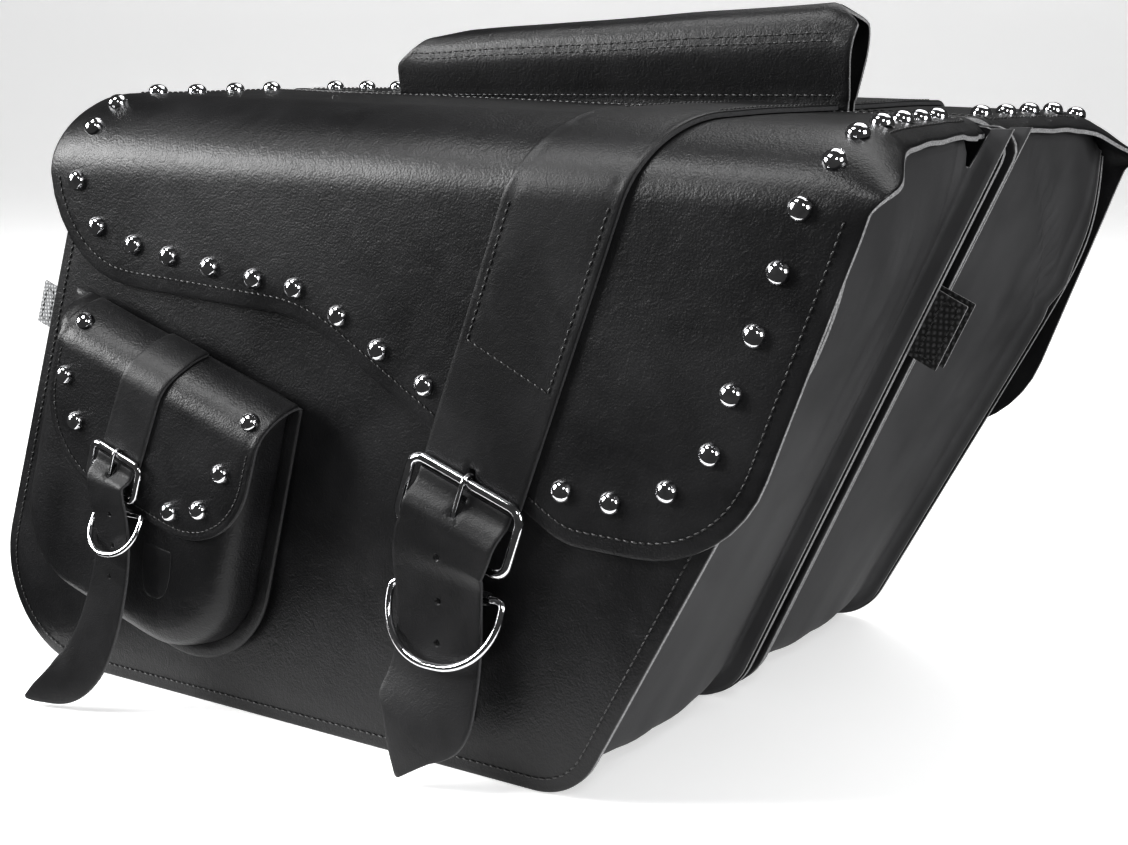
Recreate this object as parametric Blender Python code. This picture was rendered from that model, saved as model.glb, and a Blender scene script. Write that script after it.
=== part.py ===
"""A pair of slanted leather throw-over saddlebags joined by a yoke.

Every piece is drawn once in bag space: x runs along the bag, v runs outwards from the plane
midway between the two bags, and z runs up from the ground. The right bag lies toward -Y and
the left bag toward +Y, so a point (x, v, z) goes to (x, -v, z) or (x, +v, z).
"""
import math

import bmesh
import bpy
from mathutils import Vector

# ---------------------------------------------------------------- driving dimensions (metres)
GAP = 0.0003                  # clearance kept between pieces that touch

# bag body
LEFT_FOOT = -0.3158           # where the left edge line meets the ground
LEFT_LEAN = 0.36              # x gained per unit of height along the left edge
RIGHT_FOOT = 0.1242           # where the right edge line meets the ground
RIGHT_LEAN = 0.534            # x gained per unit of height along the front panel's right edge
BACK_EASE = 0.075             # how much less the back panel's right edge leans
LEFT_CORNER = 0.060           # radius of the lower left corner
RIGHT_CORNER = 0.040          # radius of the lower right corner
BACK_V = 0.006                # outer face of the back panel, from the middle plane
FRONT_V = 0.177               # outer face of the front panel
PANEL = 0.004                 # panel thickness
FLANGE = 0.008                # seam allowance standing out past the gusset
GUSSET = 0.0035               # gusset thickness
FRONT_TOP = 0.305             # height of the front panel, under the lid
LID_CLEARANCE = 0.001         # room between the back panel's top and the lid
GUSSET_FOLDS = (0.129, 0.150, 0.164)   # depths where the gusset's top bends under the lid
BOARD = 0.0025                # stiffener boards inside the bag
BOARD_TOP = 0.300             # height of the back board
BOARD_MARGIN = 0.0008         # room between a board and the gusset
FLOOR_MARGINS = (0.082, 0.034)         # floor board's ends from the bag's two feet

# lid
LID = 0.003                   # lid leather
LID_V = 0.184                 # outer face of the hanging flap
LID_BACK_V = 0.008            # back edge, sewn along the back panel
LID_TOP = 0.336               # height of the lid's top above x = 0
LID_SLOPE = 0.02              # the top falls by this much per unit of x
SHOULDER_Z = 0.296            # the flap is flat below this height
SHOULDER_REACH = 0.055        # depth of the rounded shoulder
SHOULDER_ARC = 0.074          # leather used by the shoulder

# lid strap, buckle, billet and keeper ring
STRAP_HALF = 0.0305
STRAP = 0.0028
STRAP_LEAN = 0.375            # x gained per unit of height along the strap
STRAP_END = 0.1465            # lower end, behind the buckle
BUCKLE_BAR = (0.072, 0.158)   # x, z of the middle of the buckle's top bar
BUCKLE_TILT = math.radians(19)
BUCKLE_SIZE = (0.0692, 0.036)
BUCKLE_WIRE = 0.0024
BILLET = 0.0024
RING_SIZE = (0.069, 0.038)
RING_WIRE = 0.0020
RING_BAR = (0.058, 0.1892, 0.101)
RING_TILT = math.radians(21)

# pocket
POCKET_V = 0.207              # front face of the pocket
POCKET_WALL = 0.003
POCKET_ORIGIN = (-0.187, 0.230)
POCKET_TILT = math.radians(17.6)
FLAP = 0.0024
FLAP_V = 0.2122               # outer face of the pocket lid
FLAP_WIDTH = (0.002, 0.154)
FLAP_DROP = 0.092
FLAP_SHOULDER = 0.012
FLAP_REACH = 0.022
FLAP_ARC = 0.028
SMALL_STRAP_HALF = 0.0145
SMALL_STRAP = 0.0020
SMALL_BAR = (-0.1435, 0.150)
SMALL_BUCKLE_SIZE = (0.036, 0.021)
SMALL_WIRE = 0.0016
SMALL_BILLET = 0.0020
SMALL_RING_SIZE = (0.0355, 0.024)
SMALL_RING_WIRE = 0.0015
SMALL_RING_BAR = (-0.1460, 0.2145, 0.117)
SMALL_RING_TILT = math.radians(31)

# hidden quick-release clip
CLIP_X = 0.050
CLIP_HALF = 0.0135
CLIP_V = (0.1780, 0.1850)

# yoke and webbing
YOKE = 0.0025
YOKE_FOOT = 0.262             # lowest sewn edge on the back panel
YOKE_TOP = 0.388
WEB = 0.0014
WEB_WIDTH = 0.038
FRONT_TAB_Z = 0.226
FRONT_TAB_REACH = (-0.014, 0.017)
REAR_TAB_Z = 0.217
REAR_TAB_REACH = (-0.007, 0.012)
REAR_TAB_WIDTH = 0.026


# ---------------------------------------------------------------- materials
def material(name, colour, roughness, metallic=0.0):
    """A Principled material with the given base colour."""
    made = bpy.data.materials.new(name)
    made.use_nodes = True
    shader = made.node_tree.nodes["Principled BSDF"]
    shader.inputs["Base Color"].default_value = (*colour, 1.0)
    shader.inputs["Roughness"].default_value = roughness
    shader.inputs["Metallic"].default_value = metallic
    return made


# ---------------------------------------------------------------- outlines
def rounded(corners, steps=5):
    """Closed outline through corners (a, b, radius), each turned into an arc of its radius."""
    outline = []
    for index, (a, b, radius) in enumerate(corners):
        here = Vector((a, b))
        if radius == 0.0:
            outline.append(here)
            continue
        before = (Vector(corners[index - 1][:2]) - here).normalized()
        after = (Vector(corners[(index + 1) % len(corners)][:2]) - here).normalized()
        half = before.angle(after) / 2
        centre = here + (before + after).normalized() * radius / math.sin(half)
        first = here + before * radius / math.tan(half) - centre
        turn = math.pi - 2 * half
        if before.x * after.y - before.y * after.x > 0:
            turn = -turn
        for step in range(steps + 1):
            angle = turn * step / steps
            spoke = Vector((first.x * math.cos(angle) - first.y * math.sin(angle),
                            first.x * math.sin(angle) + first.y * math.cos(angle)))
            outline.append(centre + spoke)
    return outline


def left_edge(z, inset=0.0):
    """x of the bag's left edge at height z, moved inwards by inset."""
    return LEFT_FOOT + LEFT_LEAN * z + inset * math.hypot(1, LEFT_LEAN)


def right_edge(z, inset=0.0, v=FRONT_V):
    """x of the bag's right edge at height z and depth v, moved inwards by inset."""
    lean = RIGHT_LEAN - BACK_EASE * (FRONT_V - v) / (FRONT_V - BACK_V)
    return RIGHT_FOOT + lean * z - inset * math.hypot(1, lean)


def bag_outline(inset, left_top, right_top, top_radius=0.0, v=FRONT_V):
    """The slanted outline at depth v: top left, down, along the ground and up the right."""
    corners = [(left_edge(left_top, inset), left_top, top_radius),
               (left_edge(inset, inset), inset, LEFT_CORNER - inset),
               (right_edge(inset, inset, v), inset, RIGHT_CORNER - inset),
               (right_edge(right_top, inset, v), right_top, top_radius)]
    return rounded(corners, steps=6)


# ---------------------------------------------------------------- mesh builders (bag space)
def plate(outline, v_low, v_high):
    """A flat plate: an (x, z) outline between two depths."""
    return loft([[(p[0], v_low, p[1]) for p in outline], [(p[0], v_high, p[1]) for p in outline]])


def loft(rings, closed=False):
    """Skin through rings of points with equal counts; the ends are capped unless closed."""
    mesh = bmesh.new()
    rows = [[mesh.verts.new(point) for point in ring] for ring in rings]
    pairs = list(zip(rows, rows[1:]))
    if closed:
        pairs.append((rows[-1], rows[0]))
    else:
        mesh.faces.new(rows[0])
        mesh.faces.new(rows[-1])
    for low, high in pairs:
        for index in range(len(low)):
            after = (index + 1) % len(low)
            mesh.faces.new((low[index], low[after], high[after], high[index]))
    return mesh


def ribbon(stations, thickness):
    """A strap through stations (centre, across, outwards, half width), laid on its inner face."""
    rings = []
    for centre, across, outwards, half in stations:
        side = Vector(across) * half
        lift = Vector(outwards) * thickness
        centre = Vector(centre)
        rings.append([centre - side, centre + side, centre + side + lift, centre - side + lift])
    return loft(rings)


def hanging_strap(stations, thickness):
    """A strap hanging in front of the bag through stations (x, z, v, half width)."""
    centres = [Vector((x, v, z)) for x, z, v, half in stations]
    placed = []
    for index, centre in enumerate(centres):
        ahead = centres[min(index + 1, len(centres) - 1)]
        behind = centres[max(index - 1, 0)]
        run = (ahead - behind).normalized()
        across = Vector((-run.z, 0, run.x)).normalized()
        outwards = across.cross(run).normalized()
        if outwards.y < 0:
            outwards = -outwards
        placed.append((centre, across, outwards, stations[index][3]))
    return ribbon(placed, thickness)


def wire(path, radius, normal, sides=8, closed=True):
    """Round wire along a planar path whose plane has the given normal."""
    rings = []
    count = len(path)
    for index, point in enumerate(path):
        if closed:
            run = path[(index + 1) % count] - path[index - 1]
        else:
            run = path[min(index + 1, count - 1)] - path[max(index - 1, 0)]
        outwards = run.normalized().cross(normal).normalized()
        rings.append([point + radius * (outwards * math.cos(math.tau * k / sides)
                                        + normal * math.sin(math.tau * k / sides))
                      for k in range(sides)])
    return loft(rings, closed)


def folded_sheet(outline, folds, place, thickness):
    """Leather cut flat to an outline (a, b), folded across the lines b = fold.

    place(a, b, off) gives the point of the folded sheet that lies off above its inner face.
    """
    flat = bmesh.new()
    flat.faces.new([flat.verts.new((a, b, 0)) for a, b in outline])
    for fold in folds:
        everything = flat.verts[:] + flat.edges[:] + flat.faces[:]
        bmesh.ops.bisect_plane(flat, geom=everything, dist=1e-7,
                               plane_co=(0, fold, 0), plane_no=(0, 1, 0))
    bmesh.ops.triangulate(flat, faces=flat.faces[:])
    flat.verts.index_update()
    mesh = bmesh.new()
    inner = [mesh.verts.new(place(v.co.x, v.co.y, 0.0)) for v in flat.verts]
    outer = [mesh.verts.new(place(v.co.x, v.co.y, thickness)) for v in flat.verts]
    for face in flat.faces:
        order = [v.index for v in face.verts]
        mesh.faces.new([outer[i] for i in order])
        mesh.faces.new([inner[i] for i in reversed(order)])
    for edge in flat.edges:
        if edge.is_boundary:
            one, two = (v.index for v in edge.verts)
            mesh.faces.new((inner[one], inner[two], outer[two], outer[one]))
    flat.free()
    return mesh


def shoulder_fold(length, front_v, reach, rise, arc):
    """Depth, height and normal of a sheet that hangs, rounds a shoulder and runs back level.

    length is measured up the sheet from the shoulder's start, which has height 0.
    """
    if length <= 0:
        return front_v, length, (1.0, 0.0)
    if length >= arc:
        return front_v - reach - (length - arc), rise, (0.0, 1.0)
    turn = math.pi / 2 * length / arc
    normal = Vector((math.cos(turn) / reach, math.sin(turn) / rise)).normalized()
    depth = front_v - reach * (1 - math.cos(turn))
    return depth, rise * math.sin(turn), (normal.x, normal.y)


def lid_top(x):
    """Height of the lid's upper face."""
    return LID_TOP - LID_SLOPE * x


def lid_place(x, t, off):
    """A point of the lid: t is the height on the flap and goes on round the shoulder."""
    depth, height, normal = shoulder_fold(t - SHOULDER_Z, LID_V, SHOULDER_REACH,
                                          lid_top(x) - SHOULDER_Z, SHOULDER_ARC)
    lift = off - LID
    return Vector((x, depth + lift * normal[0], SHOULDER_Z + height + lift * normal[1]))


def under_lid(x, v):
    """Height just below the lid's inner face at depth v."""
    rise = lid_top(x) - SHOULDER_Z
    along = max(0.0, (v - (LID_V - SHOULDER_REACH)) / SHOULDER_REACH)
    cover = math.sqrt(1 - along * along)
    lean = rise / SHOULDER_REACH * along / cover
    return SHOULDER_Z + rise * cover - (LID + 0.0013) * math.hypot(1, lean)


def pocket_point(p, q, v):
    """A point of the pocket's tilted frame: p runs across it and q up it."""
    cos, sin = math.cos(POCKET_TILT), math.sin(POCKET_TILT)
    x = POCKET_ORIGIN[0] + p * cos + q * sin
    return Vector((x, v, POCKET_ORIGIN[1] - p * sin + q * cos))


def flap_place(p, t, off):
    """A point of the pocket lid, laid out like lid_place in the pocket's frame."""
    depth, height, normal = shoulder_fold(t + FLAP_SHOULDER, FLAP_V, FLAP_REACH,
                                          FLAP_SHOULDER, FLAP_ARC)
    lift = off - FLAP
    return pocket_point(p, height - FLAP_SHOULDER + lift * normal[1], depth + lift * normal[0])


# ---------------------------------------------------------------- scene
class Bag:
    """One bag of the pair: a name prefix and the sign of its outward direction."""

    def __init__(self, prefix, sign, materials):
        self.prefix = prefix
        self.sign = sign
        self.materials = materials

    def add(self, name, mesh, finish, origin=(0.0, 0.0, 0.0)):
        """Link a bag-space mesh as an object whose origin is the given bag-space point."""
        pivot = Vector((origin[0], origin[1] * self.sign, origin[2]))
        for vert in mesh.verts:
            vert.co.y *= self.sign
            vert.co -= pivot
        bmesh.ops.recalc_face_normals(mesh, faces=mesh.faces[:])
        data = bpy.data.meshes.new(self.prefix + name)
        mesh.to_mesh(data)
        mesh.free()
        data.materials.append(self.materials[finish])
        data.shade_smooth()
        data.set_sharp_from_angle(angle=math.radians(40))
        made = bpy.data.objects.new(self.prefix + name, data)
        made.location = pivot
        bpy.context.scene.collection.objects.link(made)
        return made

    def cut(self, target, mesh):
        """Take a bag-space cutter out of an object."""
        cutter = self.add("cutter_for_" + target.name[-20:], mesh, "leather")
        cutter.hide_render = True
        cutter.display_type = "WIRE"
        modifier = target.modifiers.new("opening", "BOOLEAN")
        modifier.operation = "DIFFERENCE"
        modifier.solver = "EXACT"
        modifier.object = cutter


# ---------------------------------------------------------------- bag body
def build_body(bag):
    """Front and back panels, the gusset between them and the boards that stiffen the bag."""
    front = bag_outline(0.0, FRONT_TOP, FRONT_TOP)
    bag.add("front_panel", plate(front, FRONT_V - PANEL, FRONT_V), "leather")
    drop = LID + LID_CLEARANCE
    left_top = lid_top(left_edge(LID_TOP)) - drop
    right_top = lid_top(right_edge(LID_TOP)) - drop
    back = bag_outline(0.0, left_top, right_top, top_radius=0.012, v=BACK_V)
    bag.add("back_panel", plate(back, BACK_V, BACK_V + PANEL), "leather")
    build_gusset(bag)
    inside = FLANGE + GUSSET + BOARD_MARGIN
    board_v = BACK_V + PANEL + GAP
    board = bag_outline(inside, BOARD_TOP, BOARD_TOP, top_radius=0.010, v=BACK_V)
    bag.add("back_board", plate(board, board_v, board_v + BOARD), "board")
    floor_left = left_edge(0) + FLOOR_MARGINS[0]
    floor_right = right_edge(0) - FLOOR_MARGINS[1]
    floor = [(floor_left, inside), (floor_right, inside),
             (floor_right, inside + BOARD), (floor_left, inside + BOARD)]
    floor_front = FRONT_V - PANEL - 2 * LID_CLEARANCE
    bag.add("bottom_board", plate(floor, board_v + BOARD + GAP, floor_front), "board")


def build_gusset(bag):
    """One long strip sewn between the panels: down the left side, under and up the right."""
    low = BACK_V + PANEL + GAP
    high = FRONT_V - PANEL - GAP
    rings = []
    for v in (low, *GUSSET_FOLDS, high):
        left_top = under_lid(left_edge(LID_TOP), v)
        right_top = under_lid(right_edge(LID_TOP), v)
        outer = bag_outline(FLANGE, left_top, right_top, v=v)
        inner = bag_outline(FLANGE + GUSSET, left_top, right_top, v=v)
        strip = outer + inner[::-1]
        rings.append([(p[0], v, p[1]) for p in strip])
    mesh = bmesh.new()
    rows = [[mesh.verts.new(point) for point in ring] for ring in rings]
    count = len(rows[0])
    for near, far in zip(rows, rows[1:]):
        for index in range(count):
            after = (index + 1) % count
            mesh.faces.new((near[index], near[after], far[after], far[index]))
    for row in (rows[0], rows[-1]):
        for index in range(count // 2 - 1):
            mirror = count - 1 - index
            mesh.faces.new((row[index], row[index + 1], row[mirror - 1], row[mirror]))
    bag.add("gusset", mesh, "gusset")


# ---------------------------------------------------------------- lid and its strap
SHOULDER_FOLDS = [SHOULDER_Z + SHOULDER_ARC * step / 6 for step in range(7)]


def build_lid(bag):
    """The lid: one hide from the back edge, over the shoulder and down to its curved hem."""
    back = SHOULDER_Z + SHOULDER_ARC + LID_V - SHOULDER_REACH - LID_BACK_V
    hem = rounded([(-0.212, back, 0.0), (-0.215, 0.345, 0.060), (-0.236, 0.240, 0.062),
                   (-0.038, 0.229, 0.090), (0.122, 0.133, 0.040), (0.212, 0.131, 0.070),
                   (0.284, 0.327, 0.050), (0.266, 0.370, 0.060), (0.257, back, 0.0)])
    mesh = folded_sheet(hem, SHOULDER_FOLDS, lid_place, LID)
    bag.add("lid", mesh, "leather", origin=(0.0, LID_BACK_V, LID_TOP))


def build_lid_strap(bag):
    """The wide strap: it leans down the flap to the buckle and runs straight back on top."""
    arc_end = SHOULDER_Z + SHOULDER_ARC
    back = arc_end + LID_V - SHOULDER_REACH - LID_BACK_V
    lean = math.hypot(1.0, STRAP_LEAN)
    left, right = [], []
    for t in [STRAP_END] + SHOULDER_FOLDS + [back]:
        tilt = STRAP_LEAN * max(0.0, min(1.0, (arc_end - t) / SHOULDER_ARC))
        half = STRAP_HALF * (lean if t <= SHOULDER_Z else math.hypot(1.0, tilt))
        slip = STRAP_HALF * STRAP_LEAN / lean if t == STRAP_END else 0.0
        left.append((strap_centre(t + slip) - half, t + slip))
        right.append((strap_centre(t - slip) + half, t - slip))

    def place(x, t, off):
        return lid_place(x, t, off + LID + 2 * GAP)

    mesh = folded_sheet(left + right[::-1], SHOULDER_FOLDS, place, STRAP)
    return bag.add("lid_strap", mesh, "strap", origin=(0.0, LID_BACK_V, LID_TOP))


def strap_centre(t):
    """x of the strap's centre line at t along the lid."""
    on_flap = min(t, SHOULDER_Z) - BUCKLE_BAR[1]
    round_shoulder = min(1.0, max(0.0, (t - SHOULDER_Z) / SHOULDER_ARC))
    bend = round_shoulder - 0.15 * round_shoulder ** 2
    return BUCKLE_BAR[0] + STRAP_LEAN * (on_flap + SHOULDER_ARC * bend)


# ---------------------------------------------------------------- buckles and rings
def tilted(origin, tilt):
    """Unit vectors across, down and out for hardware that hangs tilted in the front plane."""
    across = Vector((math.cos(tilt), 0.0, -math.sin(tilt)))
    down = Vector((-math.sin(tilt), 0.0, -math.cos(tilt)))
    return Vector(origin), across, down, Vector((0.0, 1.0, 0.0))


def buckle_frame(origin, tilt, size, radius):
    """Rounded rectangular wire frame whose top bar is centred on the origin."""
    centre, across, down, out = tilted(origin, tilt)
    half = size[0] / 2
    corner = size[1] * 0.2
    flat = rounded([(-half, 0.0, corner), (half, 0.0, corner),
                    (half, size[1], corner), (-half, size[1], corner)], steps=4)
    return wire([centre + across * a + down * b for a, b in flat], radius, out)


def buckle_prong(origin, tilt, bar_radius, radius, reach):
    """Prong: an eye over the bar, open underneath, then a straight pin."""
    centre, across, down, out = tilted(origin, tilt)
    eye = bar_radius + GAP + radius
    opening = math.radians(-20)
    front = math.radians(-270)
    turns = 10
    path = []
    for step in range(turns + 1):
        angle = opening + (front - opening) * step / turns
        path.append(centre + eye * (out * math.sin(angle) + down * math.cos(angle)))
    path.append(centre + out * eye + down * reach)
    return wire(path, radius, across, sides=6, closed=False)


def d_ring(bar, size, radius, lean):
    """Half-round ring: a straight bar behind the billet and a bow that leans out in front."""
    centre = Vector(bar)
    across = Vector((1.0, 0.0, 0.0))
    down = Vector((0.0, math.sin(lean), -math.cos(lean)))
    half = size[0] / 2
    bow = half * 0.93
    flat = rounded([(-half, 0.0, size[1] * 0.1), (half, 0.0, size[1] * 0.1),
                    (half, size[1], bow), (-half, size[1], bow)], steps=7)
    path = [centre + across * a + down * b for a, b in flat]
    return wire(path, radius, across.cross(down).normalized())


def ring_wrap(bar, x, half, radius, wall):
    """Leather wrapped round a ring's bar, open toward the billet that it is sewn to."""
    near = radius + GAP
    far = near + wall
    count = 8
    turns = [math.radians(30 + 300 * step / count) for step in range(count + 1)]
    inner = [(near * math.cos(a), near * math.sin(a)) for a in turns]
    outer = [(far * math.cos(a), far * math.sin(a)) for a in turns]
    section = outer + inner[::-1]
    rings = []
    for side in (-half, half):
        rings.append([(x + side, bar[1] + dv, bar[2] + dz) for dv, dz in section])
    mesh = bmesh.new()
    rows = [[mesh.verts.new(point) for point in ring] for ring in rings]
    total = len(section)
    for index in range(total):
        after = (index + 1) % total
        mesh.faces.new((rows[0][index], rows[0][after], rows[1][after], rows[1][index]))
    for row in rows:
        for index in range(count):
            mirror = total - 1 - index
            mesh.faces.new((row[index], row[index + 1], row[mirror - 1], row[mirror]))
    return mesh


def slot_cutter(origin, tilt, start, end, half):
    """Box that cuts a prong slot through a billet."""
    centre, across, down, out = tilted(origin, tilt)
    rings = []
    for depth in (-0.010, 0.020):
        rings.append([centre + across * a + down * b + out * depth
                      for a, b in ((-half, start), (half, start), (half, end), (-half, end))])
    return loft(rings)


def build_buckle(bag, lid_strap):
    """Buckle frame, prong, billet, keeper ring and the clip hidden behind them."""
    bar_v = LID_V + 2 * GAP + STRAP + GAP + BUCKLE_WIRE
    bar = (BUCKLE_BAR[0], bar_v, BUCKLE_BAR[1])
    frame = buckle_frame(bar, BUCKLE_TILT, BUCKLE_SIZE, BUCKLE_WIRE)
    bag.add("buckle_frame", frame, "chrome", origin=bar)
    prong = buckle_prong(bar, BUCKLE_TILT, BUCKLE_WIRE, 0.0013, 0.0365)
    bag.add("buckle_prong", prong, "chrome", origin=bar)
    over = bar_v + BUCKLE_WIRE + GAP + 0.0026 + GAP
    billet = hanging_strap([(0.0706, 0.1538, bar_v - 0.0021, 0.0285),
                            (0.0680, 0.1462, bar_v - 0.0010, 0.0285),
                            (0.0655, 0.1385, over, 0.0285),
                            (0.0620, 0.1290, over, 0.0280),
                            (0.0585, 0.1200, over, 0.0275),
                            (0.0570, 0.1100, over - 0.0020, 0.0270),
                            (0.0570, 0.0980, over - 0.0026, 0.0262),
                            (0.0565, 0.0780, over - 0.0024, 0.0260),
                            (0.0545, 0.0560, over + 0.0006, 0.0268),
                            (0.0505, 0.0360, over + 0.0060, 0.0275),
                            (0.0440, 0.0200, over + 0.0090, 0.0145),
                            (0.0385, 0.0045, over + 0.0105, 0.0010)], BILLET)
    strap = bag.add("billet_strap", billet, "strap")
    bag.cut(strap, slot_cutter(bar, BUCKLE_TILT, -0.001, 0.0235, 0.0026))
    bag.cut(lid_strap, slot_cutter(bar, BUCKLE_TILT, -0.0065, 0.0065, 0.0026))
    ring = d_ring(RING_BAR, RING_SIZE, RING_WIRE, RING_TILT)
    bag.add("keeper_ring", ring, "chrome", origin=RING_BAR)
    bag.add("ring_loop", ring_wrap(RING_BAR, 0.078, 0.006, RING_WIRE, 0.0012), "strap")
    build_clip(bag)


def build_clip(bag):
    """Quick-release clip: a socket on webbing sewn to the bag and a tongue that slides in it."""
    low_v, high_v = CLIP_V
    half = CLIP_HALF
    foot = 0.062
    top = 0.090
    wall = 0.0014
    outer = [(CLIP_X - half, foot), (CLIP_X + half, foot), (CLIP_X + half, top),
             (CLIP_X - half, top)]
    socket = bag.add("clip_socket", plate(outer, low_v, high_v), "plastic")
    bore = [(CLIP_X - half + 2 * wall, foot + 0.008), (CLIP_X + half - 2 * wall, foot + 0.008),
            (CLIP_X + half - 2 * wall, top + 0.010), (CLIP_X - half + 2 * wall, top + 0.010)]
    bag.cut(socket, plate(bore, low_v + wall, high_v - wall))
    play = 0.0004
    blade = half - 2 * wall - play
    tongue = [(CLIP_X - blade, foot + 0.012), (CLIP_X + blade, foot + 0.012),
              (CLIP_X + blade, top + 0.0006), (CLIP_X + half, top + 0.0006),
              (CLIP_X + half, top + 0.022), (CLIP_X - half, top + 0.022),
              (CLIP_X - half, top + 0.0006), (CLIP_X - blade, top + 0.0006)]
    bag.add("clip_tongue", plate(tongue, low_v + wall + play, high_v - wall - play), "plastic",
            origin=(CLIP_X, low_v, top))
    web = [(CLIP_X - half, 0.030), (CLIP_X + half, 0.030), (CLIP_X + half, foot - 0.0005),
           (CLIP_X - half, foot - 0.0005)]
    bag.add("clip_webbing", plate(web, FRONT_V + GAP, FRONT_V + GAP + WEB), "webbing")


# ---------------------------------------------------------------- pocket
def build_pocket(bag):
    """Outer pocket: an open-topped tray, its lid, and its own small strap and buckle."""
    foot = [(-0.207, 0.232, 0.008), (-0.262, 0.066, 0.055), (-0.086, 0.015, 0.060),
            (-0.042, 0.180, 0.008)]
    face = [(-0.193, 0.222, 0.008), (-0.238, 0.080, 0.050), (-0.098, 0.032, 0.050),
            (-0.052, 0.176, 0.008)]
    low_v = FRONT_V + GAP
    tray = loft([[(a, low_v, b) for a, b in rounded(foot)],
                 [(a, POCKET_V, b) for a, b in rounded(face)]])
    body = bag.add("pocket_body", tray, "leather")
    wall = POCKET_WALL
    hollow_foot = [(-0.192, 0.262, 0.008), (-0.262 + 1.9 * wall, 0.066 + 1.3 * wall, 0.052),
                   (-0.086 - 1.1 * wall, 0.015 + 1.4 * wall, 0.057), (-0.040, 0.212, 0.008)]
    hollow_face = [(-0.180, 0.252, 0.008), (-0.238 + 1.9 * wall, 0.080 + 1.3 * wall, 0.047),
                   (-0.098 - 1.1 * wall, 0.032 + 1.4 * wall, 0.047), (-0.050, 0.208, 0.008)]
    bag.cut(body, loft([[(a, low_v - 0.002, b) for a, b in rounded(hollow_foot)],
                        [(a, POCKET_V - wall, b) for a, b in rounded(hollow_face)]]))

    back = FLAP_ARC - FLAP_SHOULDER + FLAP_V - FLAP_REACH - FRONT_V - GAP
    left, right = FLAP_WIDTH
    hem = rounded([(left, back, 0.0), (left, -FLAP_DROP, 0.048),
                   (right, -FLAP_DROP, 0.048), (right, back, 0.0)], steps=7)
    folds = [FLAP_ARC * step / 5 - FLAP_SHOULDER for step in range(6)]
    hinge = pocket_point(0.078, 0.0, FRONT_V + GAP)
    bag.add("pocket_lid", folded_sheet(hem, folds, flap_place, FLAP), "leather", origin=hinge)
    build_pocket_strap(bag, back)
    tab = hanging_strap([(-0.1235, 0.100, POCKET_V + GAP, 0.0105),
                         (-0.1265, 0.084, POCKET_V + GAP, 0.0105),
                         (-0.1285, 0.074, POCKET_V + GAP, 0.0080),
                         (-0.1290, 0.070, POCKET_V + GAP, 0.0040)], SMALL_STRAP)
    bag.add("pocket_tab", tab, "strap")


def build_pocket_strap(bag, back):
    """The narrow strap over the pocket lid with its buckle, billet and ring."""
    heights = [-0.078, -0.040]
    heights += [FLAP_ARC * step / 5 - FLAP_SHOULDER for step in range(6)]
    heights += [back - 0.0005]
    across = (pocket_point(1, 0, 0) - pocket_point(0, 0, 0)).normalized()
    stations = []
    for t in heights:
        p = 0.0735 + 0.12 * min(t, 0.0)
        low = flap_place(p, t, FLAP + GAP)
        high = flap_place(p, t, FLAP + GAP + SMALL_STRAP)
        stations.append((low, across, (high - low).normalized(), SMALL_STRAP_HALF))
    hinge = pocket_point(0.078, 0.0, FRONT_V + GAP)
    small = bag.add("pocket_strap", ribbon(stations, SMALL_STRAP), "strap", origin=hinge)
    bar_v = FLAP_V + GAP + SMALL_STRAP + GAP + SMALL_WIRE
    bar = (SMALL_BAR[0], bar_v, SMALL_BAR[1])
    frame = buckle_frame(bar, BUCKLE_TILT, SMALL_BUCKLE_SIZE, SMALL_WIRE)
    bag.add("pocket_buckle_frame", frame, "chrome", origin=bar)
    prong = buckle_prong(bar, BUCKLE_TILT, SMALL_WIRE, 0.0009, 0.0215)
    bag.add("pocket_buckle_prong", prong, "chrome", origin=bar)
    over = bar_v + SMALL_WIRE + GAP + 0.0018 + GAP
    billet = hanging_strap([(-0.1447, 0.1466, bar_v - 0.0016, 0.0135),
                            (-0.1466, 0.1411, bar_v - 0.0008, 0.0135),
                            (-0.1482, 0.1355, over, 0.0133),
                            (-0.1486, 0.1300, over, 0.0130),
                            (-0.1482, 0.1240, over - 0.0006, 0.0126),
                            (-0.1475, 0.1150, over - 0.0020, 0.0122),
                            (-0.1475, 0.0980, over - 0.0024, 0.0122),
                            (-0.1515, 0.0750, over - 0.0010, 0.0132),
                            (-0.1600, 0.0500, over + 0.0010, 0.0140),
                            (-0.1710, 0.0300, over + 0.0030, 0.0145),
                            (-0.1840, 0.0165, over + 0.0070, 0.0130),
                            (-0.2000, 0.0085, over + 0.0120, 0.0060),
                            (-0.2080, 0.0050, over + 0.0145, 0.0010)], SMALL_BILLET)
    strap = bag.add("pocket_billet", billet, "strap")
    bag.cut(strap, slot_cutter(bar, BUCKLE_TILT, -0.001, 0.0165, 0.0018))
    bag.cut(small, slot_cutter(bar, BUCKLE_TILT, -0.0045, 0.0045, 0.0018))
    ring = d_ring(SMALL_RING_BAR, SMALL_RING_SIZE, SMALL_RING_WIRE, SMALL_RING_TILT)
    bag.add("pocket_ring", ring, "chrome", origin=SMALL_RING_BAR)


# ---------------------------------------------------------------- yoke and webbing
def yoke_profile():
    """Section of one half of the yoke, (v, z) of its inner face from the foot to the ridge."""
    return [(0.0026, YOKE_FOOT), (0.0026, 0.3300), (0.0034, 0.3400), (0.0066, 0.3520),
            (0.0094, 0.3640), (0.0090, 0.3740), (0.0056, 0.3820),
            (0.0003, YOKE_TOP - YOKE)]


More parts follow.
